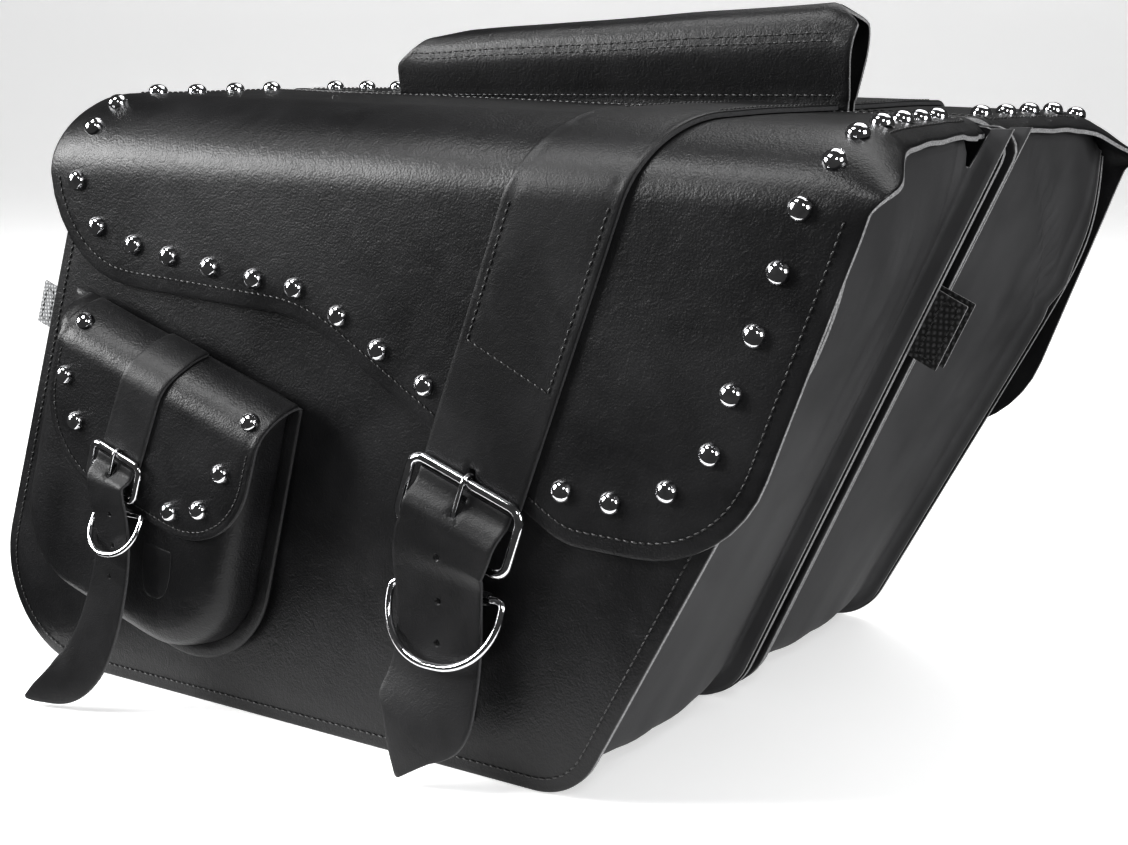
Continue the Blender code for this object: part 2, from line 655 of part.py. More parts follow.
def yoke_place(x, t, off):
    """A point of the yoke half: t counts the profile's points and off lifts it outwards."""
    profile = yoke_profile()
    index = min(int(t), len(profile) - 2)
    share = t - index
    here, ahead = Vector(profile[index]), Vector(profile[index + 1])
    spot = here.lerp(ahead, share)
    near = round(t)
    before = Vector(profile[max(near - 1, 0)])
    after = Vector(profile[min(near + 1, len(profile) - 1)])
    run = (after - before).normalized()
    if near == len(profile) - 1:
        run = Vector((-1.0, 0.0))
    if near <= 1:
        run = Vector((0.0, 1.0))
    normal = Vector((run.y, -run.x))
    return Vector((x, spot.x + off * normal.x, spot.y + off * normal.y))


def build_yoke(bag, strip_name):
    """Half of the arched yoke, sewn to the back panel, and the fastening strip inside it."""
    last = len(yoke_profile()) - 1
    hem = rounded([(-0.116, 0.0, 0.0), (0.180, 0.0, 0.0), (0.182, 2.0, 0.0),
                   (0.187, last - 1.0, 0.0), (0.172, last, 0.0), (-0.062, last, 0.0),
                   (-0.090, last - 1.0, 0.0), (-0.110, last - 3.0, 0.0)])
    folds = list(range(1, last))
    mesh = folded_sheet(hem, folds, yoke_place, YOKE)
    bag.add("yoke", mesh, "leather", origin=(0.0, 0.0, YOKE_TOP))
    strip = rounded([(-0.080, 1.0, 0.0), (0.172, 1.0, 0.0), (0.172, 4.0, 0.0),
                     (-0.080, 4.0, 0.0)])

    def strip_place(x, t, off):
        return yoke_place(x, t, off - GAP - WEB)

    bag.add(strip_name, folded_sheet(strip, [2, 3], strip_place, WEB), "fuzz",
            origin=(0.0, 0.0, YOKE_TOP))


def build_webbing(bag):
    """Two webbing tabs: one behind the right edge that ties the bags, one in the left seam."""
    front_lean = RIGHT_LEAN - BACK_EASE
    front_root = Vector((right_edge(FRONT_TAB_Z, v=BACK_V), BACK_V - GAP - WEB, FRONT_TAB_Z))
    rear_root = Vector((left_edge(REAR_TAB_Z), FRONT_V - PANEL - GAP - WEB, REAR_TAB_Z))
    for name, root, lean, sign, reach, width in (
            ("front_web_tab", front_root, front_lean, 1, FRONT_TAB_REACH, WEB_WIDTH),
            ("rear_web_tab", rear_root, LEFT_LEAN, -1, REAR_TAB_REACH, REAR_TAB_WIDTH)):
        along = Vector((lean, 0.0, 1.0)).normalized()
        out = Vector((along.z * sign, 0.0, -along.x * sign))
        stations = [(root + out * step, along, (0.0, 1.0, 0.0), width / 2) for step in reach]
        bag.add(name, ribbon(stations, WEB), "webbing")


# ---------------------------------------------------------------- build
def main():
    """Clear the scene and build both bags."""
    for old in list(bpy.data.objects):
        bpy.data.objects.remove(old, do_unlink=True)
    materials = {
        "leather": material("black_leather", (0.012, 0.012, 0.013), 0.42),
        "strap": material("black_strap_leather", (0.015, 0.015, 0.016), 0.48),
        "gusset": material("black_soft_leather", (0.022, 0.022, 0.024), 0.55),
        "board": material("stiffener_board", (0.030, 0.030, 0.030), 0.80),
        "chrome": material("chrome", (0.62, 0.62, 0.64), 0.08, 1.0),
        "plastic": material("black_plastic", (0.020, 0.020, 0.020), 0.45),
        "webbing": material("black_webbing", (0.016, 0.016, 0.017), 0.85),
        "fuzz": material("hook_and_loop", (0.012, 0.012, 0.012), 0.95),
    }
    pair = (Bag("right_", -1, materials), Bag("left_", 1, materials))
    for bag, strip_name in zip(pair, ("yoke_hook_strip", "yoke_loop_strip")):
        build_body(bag)
        build_lid(bag)
        build_buckle(bag, build_lid_strap(bag))
        build_pocket(bag)
        build_yoke(bag, strip_name)
        build_webbing(bag)


main()
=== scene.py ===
# %% [markdown]
# # A pair of slanted leather saddlebags
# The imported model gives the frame: where every piece is and what it moves with. This script keeps
# those places and makes each visible piece again as it is really made. Leather is cut flat, folded
# and sewn, wire is bent and plated, and every stud and stitch is a small mesh of its own.

# %% Load the frame
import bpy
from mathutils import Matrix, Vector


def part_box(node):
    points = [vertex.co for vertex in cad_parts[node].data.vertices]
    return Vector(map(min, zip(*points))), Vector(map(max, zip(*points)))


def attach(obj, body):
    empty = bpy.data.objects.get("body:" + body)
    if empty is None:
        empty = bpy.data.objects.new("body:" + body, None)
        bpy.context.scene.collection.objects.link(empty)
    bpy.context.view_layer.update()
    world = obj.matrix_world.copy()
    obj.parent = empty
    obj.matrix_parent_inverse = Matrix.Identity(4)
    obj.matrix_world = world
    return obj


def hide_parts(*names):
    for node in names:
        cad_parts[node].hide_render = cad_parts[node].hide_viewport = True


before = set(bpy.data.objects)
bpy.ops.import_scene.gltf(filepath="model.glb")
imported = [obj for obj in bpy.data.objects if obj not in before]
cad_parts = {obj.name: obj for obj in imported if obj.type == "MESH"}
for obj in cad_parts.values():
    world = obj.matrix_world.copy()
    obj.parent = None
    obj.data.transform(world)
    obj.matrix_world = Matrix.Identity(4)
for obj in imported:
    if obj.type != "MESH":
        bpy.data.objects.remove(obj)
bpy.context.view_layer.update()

# %% Modules and the unit
import math

import bmesh
import bpy
import numpy as np
from mathutils import Vector, noise
from mathutils.geometry import delaunay_2d_cdt

MM = 0.001

# %% [markdown]
# ## Camera
# A product shot looks down a little at the bags' front and one end. The lens is a short telephoto,
# so the far bag is clearly smaller than the near one without looking stretched.

# %% Camera
CAMERA_AT = Vector((0.565, -0.850, 0.3585))
VIEW = Vector((-0.5404, 0.8165, -0.2032))
FOCAL_LENGTH = 55.76

camera = bpy.data.objects.new("camera", bpy.data.cameras.new("camera"))
camera.data.lens = FOCAL_LENGTH
camera.data.sensor_width = 36.0
camera.location = CAMERA_AT
camera.rotation_euler = VIEW.to_track_quat("-Z", "Y").to_euler()
bpy.context.scene.collection.objects.link(camera)
bpy.context.scene.camera = camera
print("camera", [round(v, 3) for v in CAMERA_AT])

# %% [markdown]
# ## Colour and node helpers
# Colours are written as sRGB hex values, the way a swatch is read, and turned to linear light in
# one place. One helper adds a shader node with its settings and links.

# %% Helpers for materials
def linear(hex_colour):
    """An sRGB hex colour as linear RGBA."""
    parts = [int(hex_colour[i:i + 2], 16) / 255 for i in (1, 3, 5)]
    return tuple(c / 12.92 if c < 0.04045 else ((c + 0.055) / 1.055) ** 2.4 for c in parts) + (1.0,)


def add(tree, kind, inputs=None, **settings):
    """Add a node; an input is a value, or an output socket to link from."""
    made = tree.nodes.new(kind)
    for key, value in settings.items():
        setattr(made, key, value)
    for key, value in (inputs or {}).items():
        if isinstance(value, bpy.types.NodeSocket):
            tree.links.new(value, made.inputs[key])
        else:
            made.inputs[key].default_value = value
    return made


def blank(name):
    """A new material: its node tree and its Principled shader."""
    made = bpy.data.materials.new(name)
    made.use_nodes = True
    return made, made.node_tree, made.node_tree.nodes["Principled BSDF"]


def ramp(tree, factor, low, high, start=0.0, end=1.0):
    """Blend two colours as factor goes from start to end."""
    made = add(tree, "ShaderNodeValToRGB", {"Fac": factor})
    made.color_ramp.elements[0].position = start
    made.color_ramp.elements[1].position = end
    made.color_ramp.elements[0].color = linear(low)
    made.color_ramp.elements[1].color = linear(high)
    return made.outputs["Color"]


def spread(tree, factor, low, high):
    """Map a 0 to 1 pattern on to a range, for roughness."""
    return add(tree, "ShaderNodeMapRange", {"Value": factor, "To Min": low, "To Max": high}).outputs[0]


# %% [markdown]
# ## Leather
# The bags are chrome-tanned cowhide with a pigmented black finish. Under a soft light the plate finish
# shows a pebble of cells about 1.1 mm wide, finer pores between them and slow waves where the hide was
# stretched. Handling polishes the high spots; here the roughness follows the pores and the slow waves.

# %% Leather material
def pigmented_leather(name, deep, worn, gloss, pebble=1.1 * MM, relief=0.16 * MM, wave=0.5 * MM,
                      shine=0.22):
    """Pigmented hide: deep and worn colours, a roughness pair, and the pebble's width and height."""
    made, tree, shader = blank(name)
    shader.inputs["Specular IOR Level"].default_value = shine
    spot = add(tree, "ShaderNodeTexCoord").outputs["Object"]
    cells = add(tree, "ShaderNodeTexVoronoi", {"Vector": spot, "Scale": 1 / pebble,
                                               "Randomness": 1.0}, feature="SMOOTH_F1")
    cells.inputs["Smoothness"].default_value = 0.6
    pores = add(tree, "ShaderNodeTexNoise", {"Vector": spot, "Scale": 2.6 / pebble, "Detail": 3.0,
                                             "Roughness": 0.6})
    waves = add(tree, "ShaderNodeTexNoise", {"Vector": spot, "Scale": 1 / (55 * MM), "Detail": 4.0,
                                             "Roughness": 0.55, "Distortion": 0.4})
    creases = add(tree, "ShaderNodeTexNoise", {"Vector": spot, "Scale": 1 / (7 * MM), "Detail": 5.0,
                                               "Roughness": 0.65, "Distortion": 1.2})
    colour = ramp(tree, waves.outputs["Fac"], deep, worn, 0.38, 0.78)
    tree.links.new(colour, shader.inputs["Base Color"])
    mixed = add(tree, "ShaderNodeMath", {0: waves.outputs["Fac"], 1: pores.outputs["Fac"]},
                operation="MULTIPLY")
    tree.links.new(spread(tree, mixed.outputs[0], gloss[0], gloss[1]), shader.inputs["Roughness"])
    slow = add(tree, "ShaderNodeBump", {"Strength": 0.55, "Distance": wave,
                                        "Height": creases.outputs["Fac"]})
    fine = add(tree, "ShaderNodeBump", {"Strength": 0.45, "Distance": relief * 0.7,
                                        "Height": pores.outputs["Fac"], "Normal": slow.outputs[0]})
    grain = add(tree, "ShaderNodeBump", {"Strength": 0.7, "Distance": relief,
                                         "Height": cells.outputs["Distance"],
                                         "Normal": fine.outputs[0]}, invert=True)
    tree.links.new(grain.outputs[0], shader.inputs["Normal"])
    return made


def raw_leather_edge(name, dark, light):
    """A cut edge: compressed fibres, paler and rougher than the face."""
    made, tree, shader = blank(name)
    spot = add(tree, "ShaderNodeTexCoord").outputs["Object"]
    fibres = add(tree, "ShaderNodeTexNoise", {"Vector": spot, "Scale": 1 / (0.9 * MM),
                                              "Detail": 4.0, "Roughness": 0.7})
    tree.links.new(ramp(tree, fibres.outputs["Fac"], dark, light, 0.32, 0.72),
                   shader.inputs["Base Color"])
    shader.inputs["Roughness"].default_value = 0.75
    bump = add(tree, "ShaderNodeBump", {"Strength": 0.8, "Distance": 0.2 * MM,
                                        "Height": fibres.outputs["Fac"]})
    tree.links.new(bump.outputs[0], shader.inputs["Normal"])
    return made


FACE = pigmented_leather("pigmented_cowhide", "#0b0b0c", "#181819", (0.28, 0.60))
STRAP_HIDE = pigmented_leather("bridle_strap_leather", "#0d0d0e", "#1c1c1d", (0.34, 0.62),
                               pebble=0.8 * MM, relief=0.10 * MM, wave=0.35 * MM)
# The gusset is the same black hide as the panels. Its grey colours are painted light, standing in for
# the side light that falls on it. Its softer, rougher gloss is real.
GUSSET_HIDE_PAINTED_LIGHTER = pigmented_leather("gusset_leather_painted_lighter", "#2b2b2c", "#363637", (0.62, 0.85),
                              pebble=0.9 * MM, relief=0.06 * MM, wave=0.2 * MM, shine=0.15)
CUT_EDGE = raw_leather_edge("undyed_cut_edge", "#3a3a3b", "#9a9a9b")
DYED_EDGE = raw_leather_edge("dyed_burnished_edge", "#141415", "#38383a")
print("leathers", FACE.name, STRAP_HIDE.name, GUSSET_HIDE_PAINTED_LIGHTER.name)

# %% [markdown]
# ## Metal, thread, webbing and plastic
# Buckles, rings and studs are steel with a bright nickel-chrome plate: a near mirror with faint
# polishing lines. Thread is bonded nylon, two plies twisted. Webbing is a coarse plain weave.

# %% Chrome
def bright_chrome():
    """Nickel-chrome plate, polished: a mirror with a faint haze and slight orange peel."""
    made, tree, shader = blank("nickel_chrome_plate")
    spot = add(tree, "ShaderNodeTexCoord").outputs["Object"]
    shader.inputs["Metallic"].default_value = 1.0
    haze = add(tree, "ShaderNodeTexNoise", {"Vector": spot, "Scale": 1 / (4 * MM), "Detail": 3.0})
    tree.links.new(ramp(tree, haze.outputs["Fac"], "#c9c9cc", "#efeff1", 0.3, 0.7),
                   shader.inputs["Base Color"])
    tree.links.new(spread(tree, haze.outputs["Fac"], 0.04, 0.13), shader.inputs["Roughness"])
    peel = add(tree, "ShaderNodeBump", {"Strength": 0.15, "Distance": 0.05 * MM,
                                        "Height": haze.outputs["Fac"]})
    tree.links.new(peel.outputs[0], shader.inputs["Normal"])
    return made


def woven(name, dark, light, thread, rough, depth=0.35 * MM):
    """A plain weave: crossed waves one thread wide."""
    made, tree, shader = blank(name)
    spot = add(tree, "ShaderNodeTexCoord").outputs["Object"]
    over = add(tree, "ShaderNodeTexWave", {"Vector": spot, "Scale": 0.16 / thread,
                                           "Distortion": 0.8}, bands_direction="Z")
    under = add(tree, "ShaderNodeTexWave", {"Vector": spot, "Scale": 0.16 / thread,
                                            "Distortion": 0.8}, bands_direction="X")
    weave = add(tree, "ShaderNodeMath", {0: over.outputs["Fac"], 1: under.outputs["Fac"]},
                operation="MULTIPLY")
    tree.links.new(ramp(tree, weave.outputs[0], dark, light, 0.05, 0.8), shader.inputs["Base Color"])
    shader.inputs["Roughness"].default_value = rough
    bump = add(tree, "ShaderNodeBump", {"Strength": 1.0, "Distance": depth,
                                        "Height": weave.outputs[0]})
    tree.links.new(bump.outputs[0], shader.inputs["Normal"])
    return made


def speckled(name, dark, light, size, rough, depth):
    """A plain finish with a fine random texture: moulded plastic, fibre board, fuzz or thread."""
    made, tree, shader = blank(name)
    spot = add(tree, "ShaderNodeTexCoord").outputs["Object"]
    grit = add(tree, "ShaderNodeTexNoise", {"Vector": spot, "Scale": 1 / size, "Detail": 4.0,
                                            "Roughness": 0.65})
    tree.links.new(ramp(tree, grit.outputs["Fac"], dark, light, 0.35, 0.7),
                   shader.inputs["Base Color"])
    tree.links.new(spread(tree, grit.outputs["Fac"], rough[0], rough[1]),
                   shader.inputs["Roughness"])
    bump = add(tree, "ShaderNodeBump", {"Strength": 0.8, "Distance": depth,
                                        "Height": grit.outputs["Fac"]})
    tree.links.new(bump.outputs[0], shader.inputs["Normal"])
    return made


CHROME = bright_chrome()
THREAD = speckled("bonded_nylon_thread", "#0c0c0c", "#343434", 0.5 * MM, (0.2, 0.4), 0.1 * MM)
WEBBING = woven("polypropylene_webbing", "#050505", "#2c2c2d", 1.6 * MM, 0.8)
# The small tab's webbing is coloured pale grey.
PALE_WEBBING = woven("pale_grey_nylon_webbing", "#5e5f60", "#a9aaab", 1.1 * MM, 0.85)
FUZZ = speckled("hook_and_loop_pile", "#060606", "#8a8a8a", 1.3 * MM, (0.8, 0.95), 1.2 * MM)
ACETAL = speckled("moulded_acetal", "#101011", "#1b1b1c", 0.6 * MM, (0.35, 0.5), 0.04 * MM)
FIBRE_BOARD = speckled("pressed_fibre_board", "#1d1c1b", "#37352f", 1.5 * MM, (0.7, 0.9), 0.2 * MM)
print("hardware finishes", CHROME.name, THREAD.name, WEBBING.name)

# %% [markdown]
# ## Bag space
# The two bags mirror each other, so each piece is drawn once: x along the bag, v outwards from the
# plane between the bags and z up. Two objects then share the drawing, one on each side. The
# driving sizes below are read from the frame's own boxes.

# %% Sizes from the frame
SIDES = (("right_", -1.0), ("left_", 1.0))


def box(name):
    """A left-bag node's box in bag space, where v is simply y."""
    low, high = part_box("left_" + name)
    return Vector(low), Vector(high)


FRONT_V = box("front_panel")[1].y
FRONT_TOP = box("front_panel")[1].z
BACK_V = box("back_panel")[0].y
PANEL = FRONT_V - box("front_panel")[0].y
LID_V = box("lid")[1].y
LID_BACK = box("lid")[0].y
LID_THICK = 3.0 * MM
YOKE_TOP = box("yoke")[1].z
POCKET_V = box("pocket_body")[1].y
CLEAR = 0.3 * MM
print("front face", round(FRONT_V / MM, 1), "lid face", round(LID_V / MM, 1), "mm")

# %% Outline tools
def rounded(corners, steps=8):
    """Closed outline through corners (a, b, radius), each turned into an arc."""
    outline = []
    for index, (a, b, radius) in enumerate(corners):
        here = Vector((a, b))
        if radius == 0.0:
            outline.append(here)
            continue
        before = (Vector(corners[index - 1][:2]) - here).normalized()
        after = (Vector(corners[(index + 1) % len(corners)][:2]) - here).normalized()
        half = before.angle(after) / 2
        centre = here + (before + after).normalized() * radius / math.sin(half)
        first = here + before * radius / math.tan(half) - centre
        turn = math.pi - 2 * half
        if before.x * after.y - before.y * after.x > 0:
            turn = -turn
        for step in range(steps + 1):
            c, s = math.cos(turn * step / steps), math.sin(turn * step / steps)
            outline.append(centre + Vector((first.x * c - first.y * s, first.x * s + first.y * c)))
    return outline


def resample(points, pitch, closed=True):
    """Points at an even pitch along a polyline, as an array."""
    path = np.array([list(p) for p in points], dtype=float)
    if closed:
        path = np.vstack([path, path[:1]])
    steps = np.linalg.norm(np.diff(path, axis=0), axis=1)
    along = np.concatenate([[0.0], np.cumsum(steps)])
    count = max(4, int(round(along[-1] / pitch)))
    want = np.linspace(0.0, along[-1], count + 1)
    even = np.stack([np.interp(want, along, path[:, k]) for k in range(path.shape[1])], axis=1)
    return even[:-1] if closed else even


def edge_distance(points, outline):
    """Distance from each point to a closed outline."""
    start = outline
    run = np.roll(outline, -1, axis=0) - outline
    length2 = np.maximum((run ** 2).sum(axis=1), 1e-16)
    nearest = np.full(len(points), 1e9)
    for first in range(0, len(points), 2000):
        part = points[first:first + 2000]
        gap = part[:, None, :] - start[None]
        share = np.clip((gap * run[None]).sum(axis=2) / length2, 0.0, 1.0)
        nearest[first:first + 2000] = np.linalg.norm(gap - share[..., None] * run[None],
                                                     axis=2).min(axis=1)
    return nearest


def within(points, outline):
    """True for points inside a closed outline."""
    inside = np.zeros(len(points), dtype=bool)
    for one, two in zip(outline, np.roll(outline, -1, axis=0)):
        crosses = (one[1] > points[:, 1]) != (two[1] > points[:, 1])
        rise = two[1] - one[1]
        at = one[0] + (points[:, 1] - one[1]) * (two[0] - one[0]) / (rise if rise else 1e-12)
        inside ^= crosses & (points[:, 0] < at)
    return inside


def inset_line(outline, distance):
    """The outline moved inwards, without the loops that tight bends would make."""
    ahead, behind = np.roll(outline, -1, axis=0), np.roll(outline, 1, axis=0)
    run = ahead - behind
    run /= np.maximum(np.linalg.norm(run, axis=1, keepdims=True), 1e-12)
    normal = np.stack([-run[:, 1], run[:, 0]], axis=1)
    area = 0.5 * np.sum(outline[:, 0] * ahead[:, 1] - ahead[:, 0] * outline[:, 1])
    moved = outline + normal * distance * (1.0 if area > 0 else -1.0)
    return moved[edge_distance(moved, outline) > distance * 0.97]


# %% [markdown]
# ## From a drawing to two objects
# `publish` turns one bag-space mesh into the right and the left piece, sets which body each rides
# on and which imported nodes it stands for.

# %% Publish a piece on both bags
def publish(name, points, faces, finishes, rides, stands_for=(), marks=None,
            smooth=35.0, thickness=0.0, left_points=None):
    """Make right_NAME and left_NAME from bag-space points and faces."""
    for prefix, side in SIDES:
        drawn = left_points if left_points and side > 0 else points
        data = bpy.data.meshes.new(prefix + name)
        data.from_pydata([(p[0], p[1] * side, p[2]) for p in drawn], [], faces)
        for finish in finishes:
            data.materials.append(finish)
        if marks is not None:
            data.polygons.foreach_set("material_index", marks)
        mesh = bmesh.new()
        mesh.from_mesh(data)
        if thickness == 0.0:
            bmesh.ops.recalc_face_normals(mesh, faces=mesh.faces[:])
        elif side < 0:
            bmesh.ops.reverse_faces(mesh, faces=mesh.faces[:])
        mesh.to_mesh(data)
        mesh.free()
        data.shade_smooth()
        data.set_sharp_from_angle(angle=math.radians(smooth))
        piece = bpy.data.objects.new(prefix + name, data)
        bpy.context.scene.collection.objects.link(piece)
        if thickness:
            shell = piece.modifiers.new("hide thickness", "SOLIDIFY")
            shell.thickness = thickness
            shell.offset = -1.0
            shell.material_offset_rim = 1
        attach(piece, prefix + rides)
        if stands_for:
            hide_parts(*[prefix + node for node in stands_for])
    print(name, len(faces), "faces")


# %% [markdown]
# ## Cutting and folding a hide
# A leather piece starts as a flat outline, is filled with small triangles that keep its exact
# edge, and is then laid on a surface. `place(a, b, off)` gives the point that lies `off` above the
# inner face. The rim is burnished: its top corner is rounded over about a millimetre. Holes are
# real holes, and a groove is a shallow channel pressed along a line, as under a row of stitches.

# %% Sheet builder
def near_lines(points, lines):
    """Distance from each point to the nearest point of any of the lines."""
    nearest = np.full(len(points), 1e9)
    for line in lines:
        for first in range(0, len(points), 3000):
            part = points[first:first + 3000]
            gap = np.linalg.norm(part[:, None, :] - line[None], axis=2).min(axis=1)
            nearest[first:first + 3000] = np.minimum(nearest[first:first + 3000], gap)
    return nearest


def fill(edge, holes, rings, pitch, margin):
    """Triangles inside an edge and outside holes, on an even three-way grid."""
    low, high = edge.min(axis=0), edge.max(axis=0)
    across = np.arange(int((high[0] - low[0]) / pitch) + 2)
    grid = []
    for row in range(int((high[1] - low[1]) / (pitch * 0.866)) + 2):
        xs = low[0] + (across + 0.5 * (row % 2)) * pitch
        grid.append(np.stack([xs, np.full(len(xs), low[1] + row * pitch * 0.866)], axis=1))
    grid = np.vstack(grid)
    grid = grid[within(grid, edge)]
    grid = grid[edge_distance(grid, edge) > margin + 0.45 * pitch]
    grid = grid[near_lines(grid, rings + holes) > 0.5 * pitch]
    points = np.vstack([edge] + holes + rings + [grid])
    border, first = [], 0
    for loop in [edge] + holes:
        border += [(first + k, first + (k + 1) % len(loop)) for k in range(len(loop))]
        first += len(loop)
    result = delaunay_2d_cdt([Vector(p) for p in points], border, [], 0, 1e-7)
    flat = np.array([list(p) for p in result[0]])
    tris = np.array([list(t) for t in result[2]])
    middles = flat[tris].mean(axis=1)
    keep = within(middles, edge)
    for loop in holes:
        keep &= ~within(middles, loop)
    return flat, tris[keep]


def hide_sheet(name, outline, place, thick, rides, stands_for=(), pitch=4.5 * MM, finish=None,
               holes=(), groove=(), swell=None, rim=1.1 * MM):
    """A hide cut to an outline, with holes and grooves, laid down by place."""
    edge = resample(outline, pitch * 0.55)
    holes = list(holes)
    rings = [inset_line(edge, d) for d in (0.35 * rim, rim, 2.4 * rim)] + list(groove)
    for loop in holes:
        centre = loop.mean(axis=0)
        rings.append(centre + (loop - centre) * 1.4)
    flat, tris = fill(edge, holes, rings, pitch, 2.4 * rim)
    reach = edge_distance(flat, edge)
    for loop in holes:
        reach = np.minimum(reach, edge_distance(flat, loop))
    bend = np.clip(1.0 - reach / rim, 0.0, 1.0)
    drop = 0.75 * rim * (1.0 - np.sqrt(np.maximum(0.0, 1.0 - bend ** 2)))
    if groove:
        drop += 0.35 * MM * np.clip(1.0 - near_lines(flat, groove) / (1.8 * MM), 0.0, 1.0)
    lift = np.zeros(len(flat)) if swell is None else swell(flat)
    points = [place(a, b, thick + up - down) for (a, b), up, down in zip(flat, lift, drop)]
    points += [place(a, b, up) for (a, b), up in zip(flat, lift)]
    count = len(flat)
    use = {}
    for one, two, three in tris.tolist():
        for pair in ((one, two), (two, three), (three, one)):
            key = (min(pair), max(pair))
            use[key] = use.get(key, 0) + 1
    faces = tris.tolist() + [[c + count, b + count, a + count] for a, b, c in tris.tolist()]
    marks = [0] * len(faces)
    for (one, two), times in use.items():
        if times == 1:
            faces.append([one, two, two + count, one + count])
            marks.append(1)
    rim_finish = DYED_EDGE if finish is STRAP_HIDE or "pocket" in name else CUT_EDGE
    publish(name, points, faces, (finish or FACE, rim_finish), rides, stands_for, marks)


def ripple(size, height, seed=0.0):
    """Slow unevenness of a hide: a swell of the given size and height."""
    def swell(flat):
        return np.array([height * noise.noise(Vector((a / size, b / size, seed)))
                         for a, b in flat])
    return swell


def disc(a, b, radius, count=14):
    """A punched round hole's loop."""
    turn = np.linspace(0.0, math.tau, count + 1)[:-1]
    return np.stack([a + radius * np.cos(turn), b + radius * np.sin(turn)], axis=1)


def open_run(line, keep):
    """The kept stretch of a closed line, in order, whatever point the line starts at."""
    good = [bool(keep(p)) for p in line]
    starts = [k for k in range(len(line)) if good[k] and not good[k - 1]]
    if not starts:
        return line
    best = []
    for start in starts:
        run = []
        while good[start % len(line)] and len(run) < len(line):
            run.append(line[start % len(line)])
            start += 1
        best = run if len(run) > len(best) else best
    return np.array(best)


# %% [markdown]
# ## Stitching and studs
# A lockstitch shows as a row of short slanted capsules that sink into the leather at both ends.
# At about six stitches to the inch, a stitch and the hole to the next one take 4.3 mm.

# %% Stitches
STITCH = 4.3 * MM


def seam(name, runs, rides, pitch=STITCH, radius=0.42 * MM):
    """Stitches along runs of (point, outward normal) pairs, as one mesh."""
    points, faces = [], []
    for run in runs:
        path = resample([tuple(p) + tuple(n) for p, n in run], pitch, closed=False)
        for one, two in zip(path, path[1:]):
            here, ahead = Vector(one[:3]), Vector(two[:3])
            up = Vector(one[3:]).normalized()
            along = (ahead - here) * 0.76
            if along.length < 0.3 * pitch:
                continue
            side = up.cross(along).normalized()
            start = len(points)
            for share, size, sink in ((0.0, 0.45, -0.35), (0.18, 0.95, 0.35), (0.5, 1.0, 0.5),
                                      (0.82, 0.95, 0.35), (1.0, 0.45, -0.35)):
                centre = here + along * share + up * radius * sink + side * radius * (share - 0.5)
                for k in range(6):
                    turn = math.tau * k / 6
                    points.append(centre + radius * size * (side * math.cos(turn)
                                                            + up * math.sin(turn)))
            for ring in range(4):
                for k in range(6):
                    a = start + ring * 6 + k
                    b = start + ring * 6 + (k + 1) % 6
                    faces.append((a, b, b + 6, a + 6))
            faces.append(tuple(range(start, start + 6)))
            faces.append(tuple(range(start + 24, start + 30)))
    publish(name, points, faces, (THREAD,), rides, smooth=80.0)


def lay(line, place, off, swell=None):
    """A flat line laid on a surface, with its normals, as a run for seam."""
    flat = np.array([list(p) for p in line])
    lift = np.zeros(len(flat)) if swell is None else swell(flat)
    run = []
    for (a, b), up in zip(flat, lift):
        point = place(a, b, off + up)
        run.append((point, (place(a, b, off + up + MM) - point).normalized()))
    return run


# %% [markdown]
# The studs are solid chromed domes 11 mm across with a short cylindrical foot. Each is a turned
# profile, set on the leather with its axis along the surface normal.

# %% Studs
STUD_RADIUS = 5.6 * MM
STUD_PROFILE = [(1.0, -0.10), (1.0, 0.10), (0.985, 0.22), (0.92, 0.42), (0.80, 0.60),
                (0.62, 0.74), (0.40, 0.835), (0.18, 0.875), (0.0, 0.885)]


def studs(name, spots, rides, radius=STUD_RADIUS):
    """Dome studs at (point, normal) spots, as one mesh."""
    turns = 20
    points, faces = [], []
    for point, normal in spots:
        normal = Vector(normal).normalized()
        across = normal.orthogonal().normalized()
        other = normal.cross(across)
        start = len(points)
        for wide, tall in STUD_PROFILE[:-1]:
            for k in range(turns):
                angle = math.tau * k / turns
                points.append(Vector(point) + radius * (wide * (across * math.cos(angle)
                              + other * math.sin(angle)) + normal * tall))
        points.append(Vector(point) + normal * radius * STUD_PROFILE[-1][1])
        rings = len(STUD_PROFILE) - 1
        for ring in range(rings - 1):
            for k in range(turns):
                a = start + ring * turns + k
                b = start + ring * turns + (k + 1) % turns
                faces.append((a, b, b + turns, a + turns))
        top = start + rings * turns
        for k in range(turns):
            faces.append((top - turns + k, top - turns + (k + 1) % turns, top))
        faces.append(tuple(range(start, start + turns)))
    publish(name, points, faces, (CHROME,), rides, smooth=60.0)


# %% [markdown]
# ## The bag's outline
# Front and back panels share one slanted outline: the left side leans in, the right side leans
# further out, and both feet are rounded. A straight stretch carries even points, so that rows cut
# at different insets can be joined one to one.

# %% Bag outline
LEFT_FOOT, LEFT_LEAN, LEFT_CORNER = -0.3158, 0.36, 0.060
RIGHT_FOOT, RIGHT_LEAN, RIGHT_CORNER = 0.1242, 0.534, 0.040
BACK_EASE = 0.075


def left_edge(z, inset=0.0):
    """x of the bag's left edge at a height."""
    return LEFT_FOOT + LEFT_LEAN * z + inset * math.hypot(1, LEFT_LEAN)


def right_edge(z, inset=0.0, v=FRONT_V):
    """x of the bag's right edge at a height and depth; it leans less toward the back."""
    lean = RIGHT_LEAN - BACK_EASE * (FRONT_V - v) / (FRONT_V - BACK_V)
    return RIGHT_FOOT + lean * z - inset * math.hypot(1, lean)


def bag_outline(inset, left_top, right_top, top_radius=0.0, v=FRONT_V):
    """Top left, down, along the ground and up the right, moved in by inset."""
    corners = [(left_edge(left_top, inset), left_top, top_radius),
               (left_edge(inset, inset), inset, LEFT_CORNER - inset),
               (right_edge(inset, inset, v), inset, RIGHT_CORNER - inset),
               (right_edge(right_top, inset, v), right_top, top_radius)]
    return rounded(corners, steps=12)


